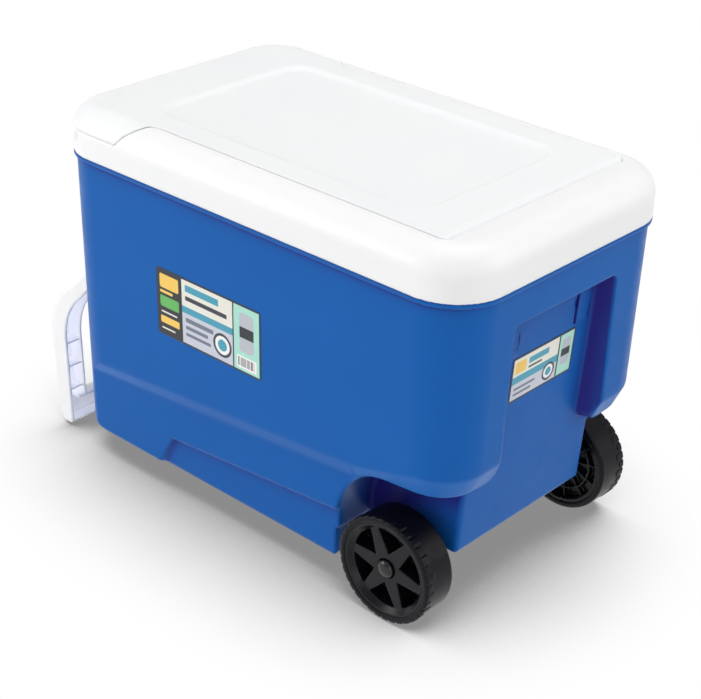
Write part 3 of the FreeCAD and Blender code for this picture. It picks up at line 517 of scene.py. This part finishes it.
plug_rows = [(-254, 208, 128, 40, 397), (-254, 208, 128, 40, 393)]
plug_rows += [(-234, 194, 125, 45, 393), (-229, 189, 123, 45, 392)]
plug_rows += rounded_rows(-227, 187, 122, 45, 380, 6)
plug_rows += [(-209, 169, 104, 36, 380), (-206, 166, 101, 34, 381), (-204, 164, 99, 32, 384),
              (-200, 160, 95, 30, 385), (-120, 80, 50, 20, 385)]
points, faces, count = lofted(plug_rows)
points, faces = capped(points, faces, count)
top = np.arange(count)
points = np.concatenate([points, [[-23, 0, 397]]])
faces += np.stack([np.roll(top, -1), top, np.full(count, len(points) - 1)], 1).tolist()
underside = mesh_piece("lid_liner", points, [face[::-1] for face in faces])
underside.data.materials.append(white_polystyrene)
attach(underside, "lid")
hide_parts("lid_underside")

# ---------------------------------------------------------------- Tow handle
# The swing-up bail that the cooler is pulled by: one white polypropylene moulding, its two legs and its
# grip open channels stiffened by cross ribs. The legs' eyes turn on pins in the pockets of the shell.

handle_joint = next(joint for joint in frame["joints"] if joint["name"] == "handle_hinge")
PIVOT = np.array(handle_joint["pos_m"]) * 1000 - (SHIFT, 0, 0)
LEG_MIDDLE, LEG_HALF = 130.5, 12.5
RIB_HEIGHTS = (47.0, 76.5, 106.0)


def arc_points(x, z, r, first, last, count=14):
    """Points on a circle about (x, z), from one angle to another."""
    a = np.radians(np.linspace(first, last, count))
    return list(zip(x + r * np.cos(a), z + r * np.sin(a)))


def outline_distance(u, v, corners):
    """Distance to a closed outline: to the nearest of its sides, negative where a ray crosses it oddly."""
    corners = np.array(corners, float)
    nearest, odd = np.inf, False
    for (ax, ay), (bx, by) in zip(corners, np.roll(corners, -1, 0)):
        ex, ey = bx - ax, by - ay
        t = np.clip(((u - ax) * ex + (v - ay) * ey) / (ex * ex + ey * ey), 0, 1)
        nearest = np.minimum(nearest, np.hypot(u - ax - ex * t, v - ay - ey * t))
        if ey != 0:
            crosses = ((ay > v) != (by > v)) & (u < ax + (v - ay) * ex / ey)
            odd = np.logical_xor(odd, crosses)
    return np.where(odd, -nearest, nearest)


leg_line = ([(PIVOT[0] - 5.0, PIVOT[2] + 5.2)] + arc_points(-257, 116, 75, 134, 180)
            + arc_points(-313, 13, 9, 180, 270, 7) + arc_points(-307, 9, 5, 270, 360, 5)[:-1] + [(-302, 9.5)]
            + arc_points(-232, 116, 75, 180, 130) + [(PIVOT[0] + 5.0, PIVOT[2] - 5.2)])
hollow_line = (arc_points(-257, 116, 72, 142, 180)
               + [(-319, 13), (-313, 7), (-292, 7), (-292, 116), (-262, 190)])


def handle_form(x, y, z):
    """The handle: two legs that follow the knee's arcs, hollowed from the cooler's side but for their
    side walls and ribs, an eye on each, and the grip's channel across."""
    side = np.abs(y) - LEG_MIDDLE
    plane = outline_distance(x, z, leg_line)
    eye = np.hypot(x - PIVOT[0], z - PIVOT[2])
    leg = meet(join(plane, eye - 13, 5), np.abs(side) - LEG_HALF, 2.2)
    channel = meet(outline_distance(x, z, hollow_line), np.abs(side) - LEG_HALF + 3, 2)
    leg = less(leg, channel, 1)
    ribs = np.minimum.reduce([np.abs(z - height) for height in RIB_HEIGHTS]) - 1.2
    ribs = meet(meet(ribs, plane + 2.2, 0.8), np.abs(side) - LEG_HALF + 1)
    leg = join(leg, ribs, 1.0)
    bar = meet(oblong(x + 312, z - 20, 10, 16, 5), np.abs(y) - LEG_MIDDLE, 0)
    both = join(leg, bar, 1.5)
    hollow = meet(oblong(x + 300, z - 20, 19, 12.8, 2.5), np.abs(y) - LEG_MIDDLE - LEG_HALF + 3, 1)
    return less(less(both, hollow, 0.8), eye - 4.06, 0.4)


handle = moulded("tow_handle_bail", handle_form, spaced(-336, -296, 1.5, -230, 2.2),
                 spaced(-147, -113, 1.5, 113, 5, 147, 1.5),
                 spaced(0, 44, 1.8, 50, 1, 73, 2.4, 80, 1, 103, 2.4, 109, 1, 200, 2.5, 234, 2))
# unpigmented polypropylene, whiter than the rim; a painted glow in its channels stands in for light through
# them
natural_polypropylene = plastic("natural_polypropylene", "#fdfdff", "#fbfbff", 0.36, 2.0, 0.015, patch_mm=90,
                                wear=0.02, specular=0.35, depth_mm=1.5, through=0.20)
handle.data.materials.append(natural_polypropylene)
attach(handle, "tow_handle")
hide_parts("tow_handle")

# ---------------------------------------------------------------- Wheels
# Two spoked wheels of black polypropylene, each with a hard tread ring moulded round it that carries a
# row of raised lugs along its outer edge. Each is turned from or cut out of one profile about the axle.

# carbon-black polypropylene, lightly grained: near black, with a soft grey sheen where the light grazes
black_polypropylene = plastic("black_polypropylene", "#0d0e14", "#0a0b10", 0.27, 1.2, 0.05, patch_mm=40,
                              specular=0.22)
# harder tread compound: the same black, a little duller from the mould's texture
black_tread = plastic("black_tread", "#0b0c13", "#090a10", 0.36, 1.1, 0.10, patch_mm=35, specular=0.16)

wheel_line = [(7, 2), (13, 2), (13, 12), (33.5, 12), (33.5, 5), (36, 5), (36, 12), (46, 12), (46, 1), (51, 1),
              (51, 38), (48.2, 38), (43.4, 33.5), (10.6, 33.5), (10.6, 30), (7, 30)]
SPOKE_TURN = math.radians(24)
LUG_PITCH, LUG_RISE = math.radians(10), 0.9


def wheel_form(x, y, z):
    """A wheel: its profile turned about the axle, less six round-cornered hollows that leave tapering
    spokes in front of a closed web, with thin ribs on the web's inner side."""
    across, up = x - AXLE_X, z - AXLE_Z
    out = y - WHEEL_INNER
    radius = np.hypot(across, up)
    turn = np.arctan2(up, across) - SPOKE_TURN
    local = (turn + math.pi / 6) % (math.pi / 3) - math.pi / 6
    form = outline_distance(radius, out, wheel_line)
    spoke = radius * np.sin(math.pi / 6 - np.abs(local)) - (8.8 - 0.13 * (radius - 16))
    hollow = meet(meet(radius - 42.6, 16.2 - radius, 1), -spoke, 1.3)
    form = less(form, meet(hollow, 14.5 - out, 1.5), 1.0)
    behind = turn % (math.pi / 6) - math.pi / 12
    rib_span = meet(meet(12 - radius, radius - 47), meet(5.5 - out, out - 13))
    return join(form, meet(np.abs(radius * np.sin(behind)) - 0.9, rib_span, 0.4), 0.8)


def ring_grid(radius, out, sign, base, x, z, steps):
    """Points and faces of a closed profile swept round an axle at (x, z). The radius may change from
    angle to angle; out is the distance from base along the axle, on the side that sign tells."""
    angle = np.linspace(0, 2 * math.pi, steps, endpoint=False)[:, None]
    points = np.stack([x + radius * np.cos(angle), sign * (base + np.broadcast_to(out, radius.shape)),
                       z + radius * np.sin(angle)], 2)
    m = radius.shape[1]
    i, j = np.meshgrid(np.arange(steps), np.arange(m), indexing="ij")
    k, n = (i + 1) % steps, (j + 1) % m
    faces = np.stack([i * m + j, i * m + n, k * m + n, k * m + j], -1).reshape(-1, 4)
    return points.reshape(-1, 3), faces if sign < 0 else faces[:, ::-1]


def tyre_surface(sign):
    """The tread ring: its profile turned about the axle. Its outer edge rises where a row of lugs passes,
    long and short in turn; the rise is a short ramp of the distance to each lug's outline."""
    width, seat, tread, steps = 39.0, 50.8, AXLE_Z - LUG_RISE, 720
    profile = ([(seat, 0.6), (seat + 1, 0), (tread - 2, 0), (tread - 0.6, 0.6), (tread, 2)]
               + [(tread, v) for v in np.linspace(4, 20, 6)] + [(tread, v) for v in np.linspace(21, 37.2, 28)]
               + [(tread - 0.6, width - 0.6), (tread - 2, width), (tread - 3.2, width), (seat + 1, width),
                  (seat, width - 0.6)])
    radius, out = np.array(profile).T
    angle = np.linspace(0, 2 * math.pi, steps, endpoint=False)
    a, r = np.meshgrid(angle, radius, indexing="ij")
    along = ((a / LUG_PITCH) % 1 - 0.5) * LUG_PITCH * AXLE_Z
    reach = np.where(np.floor(a / LUG_PITCH) % 2 > 0, 15.0, 11.0)
    block = oblong(along, out - (42 - reach / 2), 3.6, reach / 2, 1.2)
    r = r + LUG_RISE * np.clip(0.5 - block / 0.5, 0, 1) * (r > tread - 3)
    return ring_grid(r, out, sign, WHEEL_INNER, AXLE_X, AXLE_Z, steps)


def turned(profile, sign, base, x=AXLE_X, z=AXLE_Z, steps=64):
    """A turned piece: a closed profile of (radius, distance from base along the axle) swept round an axle."""
    radius, out = np.array(profile, float).T
    return ring_grid(np.broadcast_to(radius, (steps, len(radius))), out, sign, base, x, z, steps)


def closed(piece):
    """Merges the points of a turned piece that meet on its axis and turns its faces outwards."""
    work = bmesh.new()
    work.from_mesh(piece.data)
    bmesh.ops.remove_doubles(work, verts=work.verts, dist=1e-6)
    bmesh.ops.recalc_face_normals(work, faces=work.faces)
    work.to_mesh(piece.data)
    work.free()
    return piece


WHEEL_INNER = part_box("tyre_left")[0].y * 1000
wheel_points, wheel_faces = skin(wheel_form, spaced(AXLE_X - 53, AXLE_X + 53, 1.2),
                                 spaced(WHEEL_INNER - 1, WHEEL_INNER + 16, 1.7, WHEEL_INNER + 28, 4,
                                        WHEEL_INNER + 40, 1.2),
                                 spaced(AXLE_Z - 53, AXLE_Z + 53, 1.2))
wheel_normals = slope_of(wheel_form, wheel_points)
for hand, sign in (("left", 1), ("right", -1)):
    faces = wheel_faces if sign > 0 else wheel_faces[:, ::-1]
    mirror = (1, sign, 1)
    wheel = mesh_piece(f"spoked_wheel_{hand}", wheel_points * mirror, faces, wheel_normals * mirror)
    wheel.data.materials.append(black_polypropylene)
    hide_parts(f"wheel_{hand}")
    tyre = closed(mesh_piece(f"tread_ring_{hand}", *tyre_surface(sign)))
    tyre.data.materials.append(black_tread)
    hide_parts(f"tyre_{hand}")
    for piece, name in ((wheel, "black_plastic"), (tyre, "black_tread")):
        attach(piece, f"wheel_{hand}")

# ---------------------------------------------------------------- Axle and what turns on it
# A zinc-plated steel axle pressed into two bosses, and per wheel a nylon bush, a black spacer against the
# shell, a steel washer and a domed cap pushed over the axle's end.

# zinc plate on drawn steel: grey and bright, brushed along by the drawing
zinc_plated_steel = plastic("zinc_plated_steel", "#b4b6b9", "#a4a6aa", 0.34, 0.9, 0.08, patch_mm=12)
zinc_plated_steel.node_tree.nodes["Principled BSDF"].inputs["Metallic"].default_value = 1.0
# unfilled nylon: a milky, waxy white
natural_nylon = plastic("natural_nylon", "#dcdbd4", "#d2d0c8", 0.42, 1.4, 0.06, patch_mm=15)
# cap plastic, glossier than the wheel and a shade bluer
cap_plastic = plastic("cap_plastic", "#0b0c12", "#090a0f", 0.20, 1.2, 0.04, patch_mm=15)


def ring_profile(inner, outer, length, bevel=0.5):
    """A ring's cross-section with small bevels on its outer edges."""
    return [(inner, 0), (outer - bevel, 0), (outer, bevel), (outer, length - bevel), (outer - bevel, length),
            (inner, length)]


AXLE_HALF = 163
dome = [(9.8 * math.cos(t), 3 + 4.4 * math.sin(t)) for t in np.linspace(0, math.pi / 2, 9)]
cap_profile = [(0, 0.2), (9.3, 0.2), (9.8, 0.7)] + dome[:-1] + [(0, 7.4)]
axle_profile = [(0, 0), (4.5, 0), (5, 0.6), (5, 2 * AXLE_HALF - 0.6), (4.5, 2 * AXLE_HALF),
                (0, 2 * AXLE_HALF)]
axle_piece = closed(mesh_piece("axle_rod", *turned(axle_profile, 1, -AXLE_HALF)))
axle_piece.data.materials.append(zinc_plated_steel)
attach(axle_piece, "cooler_body")
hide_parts("axle")
for hand, sign in (("left", 1), ("right", -1)):
    wheel_body = f"wheel_{hand}"
    small = (("bush", "wheel_bush", ring_profile(5.06, 7.0, 28), WHEEL_INNER + 2, natural_nylon,
              "bush_plastic", wheel_body),
             ("spacer", "axle_spacer", ring_profile(5, 9, 24.9), 102.5, black_polypropylene,
              "black_plastic", "cooler_body"),
             ("washer", "axle_washer", ring_profile(5, 9, 1.2, 0.2), 156.0, zinc_plated_steel,
              "plated_steel", "cooler_body"),
             ("axle_cap", "hub_cap", cap_profile, 157.3, cap_plastic, "cap_plastic", "cooler_body"))
    for name, node, profile, base, material, slot_name, body in small:
        piece = closed(mesh_piece(f"{name}_{hand}", *turned(profile, sign, base)))
        piece.data.materials.append(material)
        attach(piece, body)
        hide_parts(f"{node}_{hand}")
    pins = ((f"lid_pin_{hand}", f"lid_hinge_pin_{hand}", 2.45, 23, 123, LID_AXIS_X, LID_AXIS_Z),
            (f"bail_pin_{hand}", f"handle_pin_{hand}", 4.0, 39.5, 109.5, PIVOT[0], PIVOT[2]))
    for name, node, radius, length, base, x, z in pins:
        profile = [(0, 0), (radius - 0.4, 0), (radius, 0.4), (radius, length - 0.4), (radius - 0.4, length),
                   (0, length)]
        piece = closed(mesh_piece(name, *turned(profile, sign, base, x, z, 40)))
        piece.data.materials.append(zinc_plated_steel)
        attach(piece, "cooler_body")
        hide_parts(node)

# ---------------------------------------------------------------- Printed labels
# Two laminated paper labels, one on the right side wall and one on the end panel. Their plain colour
# blocks and bars stand for print; they carry no words, numbers or marks.


def in_block(u, v, left, low, right, high, r=0.0):
    """Whether points of the label lie in a block, its corners rounded by r."""
    return oblong(u - (left + right) / 2, v - (low + high) / 2, (right - left) / 2, (high - low) / 2, r) < 0


def printed_label(name, width, height, place, blocks, r=4.0):
    """A label as a grid half a millimetre fine, placed by a function of its own two coordinates; each
    point takes the colour of the last block that covers it, a rectangle of four or five numbers or a disc
    of three. A second row of points behind the border closes its back, and near the ends the grid is
    squeezed so that the outline's corners have radius r."""
    us, vs = np.linspace(0, width, int(width * 2.2) + 1), np.linspace(0, height, int(height * 2.2) + 1)
    u, v = np.meshgrid(us, vs, indexing="ij")
    lift = np.maximum(0, r - np.minimum(u, width - u))
    pull = r - np.sqrt(np.maximum(r * r - lift * lift, 0))
    v_fit = pull + v * (height - 2 * pull) / height
    colour = np.broadcast_to(np.array(tint(blocks[0])), u.shape + (4,)).copy()
    for code, *shape in blocks[1:]:
        if len(shape) == 3:
            covered = np.hypot(u - shape[0], v_fit - shape[1]) < shape[2]
        else:
            covered = in_block(u, v_fit, *shape)
        colour[covered] = tint(code)
    n, m = u.shape
    i, j = np.meshgrid(np.arange(n - 1), np.arange(m - 1), indexing="ij")
    front = np.stack([i * m + j, (i + 1) * m + j, (i + 1) * m + j + 1, i * m + j + 1], -1).reshape(-1, 4)
    border = np.concatenate([np.arange(0, n * m, m), (n - 1) * m + np.arange(1, m),
                             np.arange(n * m - 1 - m, -1, -m)[:n - 1], np.arange(m - 2, 0, -1)])
    points = np.concatenate([place(u, v_fit, 0.35).reshape(-1, 3),
                             place(u, v_fit, 0.0).reshape(-1, 3)[border]])
    b = np.arange(len(border))
    back = n * m + b
    side = np.stack([border, back, np.roll(back, -1), np.roll(border, -1)], 1)[:, ::-1]
    faces = front.tolist() + side.tolist() + [back[::-1].tolist()]
    label = mesh_piece(name, points, faces)
    layer = label.data.color_attributes.new("print", "FLOAT_COLOR", "POINT")
    colour = colour.reshape(-1, 4)
    layer.data.foreach_set("color", np.concatenate([colour, colour[border]]).ravel())
    return label


# gloss-laminated paper: ink under a clear film, with the film's slight orange peel
laminated_paper = bpy.data.materials.new("laminated_paper")
laminated_paper.use_nodes = True
tree = laminated_paper.node_tree
shader = tree.nodes["Principled BSDF"]
ink = put(tree, "ShaderNodeVertexColor", layer_name="print")
tree.links.new(ink.outputs["Color"], shader.inputs["Base Color"])
spot = put(tree, "ShaderNodeTexCoord").outputs["Object"]
peel = put(tree, "ShaderNodeTexNoise", {"Vector": spot}, {"Scale": 160.0, "Detail": 2.0})
ripple = put(tree, "ShaderNodeBump", {"Height": peel.outputs["Fac"]}, {"Strength": 0.05, "Distance": 0.0005})
tree.links.new(ripple.outputs["Normal"], shader.inputs["Normal"])
shader.inputs["Roughness"].default_value = 0.32

side_low, side_high = (np.array(corner) * 1000 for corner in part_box("side_label"))
SIDE_WIDTH, SIDE_HEIGHT = side_high[0] - side_low[0], side_high[2] - side_low[2]


def on_side_wall(u, v, proud):
    """Lies the label on the drafted right-hand wall, proud of it by the given amount."""
    z = side_low[2] + v
    return np.stack([side_low[0] - SHIFT + u, -(HALF_WIDE - wall_drop(z) + proud), z], -1)


BLACK, CREAM, TEAL, GREY, MINT, SILVER = "#22242c", "#e8e6da", "#3f9cb5", "#c9ccd8", "#a9dfcf", "#b9bec6"
AMBER, LEAF, SLATE, ASH, CHALK = "#f5c95b", "#5fb55a", "#2f3442", "#6f7686", "#f1f1ee"
side_print = [BLACK, (CREAM, 38, 44, 112, 75), (TEAL, 38, 37, 112, 45), (GREY, 38, 2, 112, 37),
              (MINT, 114, 2, 150, 75), (BLACK, 2, 2, 36, 75), (AMBER, 5, 55, 33, 71, 2),
              (LEAF, 5, 33, 33, 46, 2), (AMBER, 5, 14, 33, 22, 1), (AMBER, 5, 49, 24, 52, 1),
              (CREAM, 6, 26, 30, 28), (CREAM, 6, 7, 26, 9),
              (TEAL, 43, 62, 92, 70, 1), (SLATE, 43, 52, 104, 57, 1), (ASH, 43, 27, 84, 32, 1),
              (ASH, 43, 19, 76, 23, 1), (ASH, 43, 11, 80, 15, 1), (SLATE, 97, 20, 13.5),
              (CHALK, 97, 20, 10.5), (TEAL, 97, 20, 6.5), (SILVER, 122, 24, 142, 68, 4),
              (BLACK, 122, 40, 142, 52), (CHALK, 118, 5, 146, 19)]
side_print += [(BLACK, 120 + 2.0 * n, 7, 120.8 + 2.0 * n + 0.5 * (n % 3 == 0), 17) for n in range(12)]
side_label = printed_label("side_print", SIDE_WIDTH, SIDE_HEIGHT, on_side_wall, side_print)

end_low, end_high = (np.array(corner) * 1000 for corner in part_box("end_label"))
END_WIDTH, END_HEIGHT = end_high[1] - end_low[1], end_high[2] - end_low[2]


def on_end_panel(u, v, proud):
    """Lies the label on the leaning end panel."""
    z = end_low[2] + v
    return np.stack([panel_at(z) + proud, end_low[1] + u, z], -1)


end_print = [BLACK, (CREAM, 2, 27, 74, 48), (TEAL, 2, 20, 74, 28), (GREY, 2, 2, 74, 20),
             (MINT, 76, 2, 98, 48), (AMBER, 5, 31, 22, 44, 2), (TEAL, 26, 36, 58, 43, 1),
             (SLATE, 26, 31, 48, 33, 1),
             (ASH, 6, 12, 40, 15, 1), (ASH, 6, 6, 34, 9, 1), (SLATE, 61, 14, 10), (CHALK, 61, 14, 7.6),
             (TEAL, 61, 14, 4.6), (SILVER, 80, 12, 94, 42, 3), (BLACK, 80, 22, 94, 31)]
end_label = printed_label("end_print", END_WIDTH, END_HEIGHT, on_end_panel, end_print, 2.5)
for label, node in ((side_label, "side_label"), (end_label, "end_label")):
    label.data.materials.append(laminated_paper)
    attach(label, "cooler_body")
    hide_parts(node)

# ---------------------------------------------------------------- Floor, light and camera
# A seamless white floor under an even white surround, with a large soft lamp overhead and three smaller
# ones to the left, to the right and beside the camera, as in a plain product studio.

SHADOW_REACH = 0.24
floor_mesh = bpy.data.meshes.new("floor")
floor_mesh.from_pydata([(-30, -30, 0), (30, -30, 0), (30, 30, 0), (-30, 30, 0)], [], [(0, 1, 2, 3)])
floor = bpy.data.objects.new("floor", floor_mesh)
bpy.context.scene.collection.objects.link(floor)
# matt white background paper. Light falls on it as on any matt sheet, but the camera sees it at the white
# of the surround with a painted shadow, darker the closer the cooler stands over it, not cast by the lamps,
# and gloss and clear plastic see it plain white
paper = bpy.data.materials.new("white_studio_paper")
paper.use_nodes = True
tree = paper.node_tree
tree.nodes.remove(tree.nodes["Principled BSDF"])
ray = put(tree, "ShaderNodeLightPath")
matt = put(tree, "ShaderNodeBsdfDiffuse", values={"Color": (0.92, 0.92, 0.92, 1)})
cover = put(tree, "ShaderNodeAmbientOcclusion", values={"Distance": SHADOW_REACH}, samples=24)
closeness = put(tree, "ShaderNodeMapRange", {"Value": cover.outputs["AO"]},
                {"From Min": 0.39, "From Max": 0.92, "To Min": 1.0, "To Max": 0.0})
softened = put(tree, "ShaderNodeMath", {0: closeness.outputs["Result"]}, {1: 1.5}, operation="POWER")
shade = put(tree, "ShaderNodeMath", {0: softened.outputs[0]}, {1: -0.74, 2: 1.0}, operation="MULTIPLY_ADD")
white = put(tree, "ShaderNodeEmission", {"Strength": shade.outputs[0]}, {"Color": (1, 1, 1, 1)})
plain = put(tree, "ShaderNodeEmission", values={"Color": (1, 1, 1, 1), "Strength": 1.0})
mirrored = put(tree, "ShaderNodeMath",
               {0: ray.outputs["Is Glossy Ray"], 1: ray.outputs["Is Transmission Ray"]}, operation="MAXIMUM")
lit = put(tree, "ShaderNodeMixShader", {0: mirrored.outputs[0], 1: matt.outputs[0], 2: plain.outputs[0]})
sheet = put(tree, "ShaderNodeMixShader",
            {0: ray.outputs["Is Camera Ray"], 1: lit.outputs[0], 2: white.outputs[0]})
tree.links.new(sheet.outputs[0], tree.nodes["Material Output"].inputs["Surface"])
floor_mesh.materials.append(paper)

world = bpy.data.worlds.new("white_surround")
world.use_nodes = True
bpy.context.scene.world = world
tree = world.node_tree
around = tree.nodes["Background"]
around.inputs["Color"].default_value = (1, 1, 1, 1)
around.inputs["Strength"].default_value = 0.50
seen = put(tree, "ShaderNodeBackground", values={"Color": (1, 1, 1, 1), "Strength": 1.0})
path = put(tree, "ShaderNodeLightPath")
clear = put(tree, "ShaderNodeMath",
            {0: path.outputs["Is Camera Ray"], 1: path.outputs["Is Transmission Ray"]}, operation="MAXIMUM")
either = put(tree, "ShaderNodeMath", {0: path.outputs["Is Glossy Ray"], 2: clear.outputs[0]}, {1: 0.15},
             operation="MULTIPLY_ADD", use_clamp=True)
blend = put(tree, "ShaderNodeMixShader", {0: either.outputs[0], 1: around.outputs[0], 2: seen.outputs[0]})
tree.links.new(blend.outputs[0], tree.nodes["World Output"].inputs["Surface"])


def soft_lamp(name, place, aim, size, power):
    """A square area lamp at a place, turned to face its aim."""
    data = bpy.data.lights.new(name, "AREA")
    data.size, data.energy = size, power
    lamp = bpy.data.objects.new(name, data)
    lamp.location = place
    lamp.rotation_euler = (Vector(aim) - Vector(place)).to_track_quat("-Z", "Y").to_euler()
    bpy.context.scene.collection.objects.link(lamp)
    return lamp


soft_lamp("overhead", (0.3, 0.3, 2.6), (0, 0, 0.3), 2.2, 27)
soft_lamp("left", (-1.7, -1.9, 0.9), (0, 0, 0.22), 1.4, 23)
soft_lamp("right", (2.3, 1.4, 1.1), (0, 0, 0.22), 1.4, 11)
soft_lamp("front", (1.9, -2.1, 0.9), (0, 0, 0.25), 1.6, 13)

azimuth, elevation, roll = math.radians(41.64), math.radians(28.17), math.radians(1.861)
back = Vector((math.sin(azimuth) * math.cos(elevation), -math.cos(azimuth) * math.cos(elevation),
               math.sin(elevation)))
level = Vector((math.cos(azimuth), math.sin(azimuth), 0))
upward = back.cross(level)
right = level * math.cos(roll) + upward * math.sin(roll)
upward = upward * math.cos(roll) - level * math.sin(roll)
camera_data = bpy.data.cameras.new("camera")
camera_data.sensor_width = 36
camera_data.lens = 88.07
camera = bpy.data.objects.new("camera", camera_data)
rows = [(*axes, place) for axes, place in zip(zip(right, upward, back), (1.1132, -1.2193, 1.0398))]
camera.matrix_world = Matrix(rows + [(0, 0, 0, 1)])
bpy.context.scene.collection.objects.link(camera)
bpy.context.scene.camera = camera
bpy.context.scene.view_settings.view_transform = "Standard"
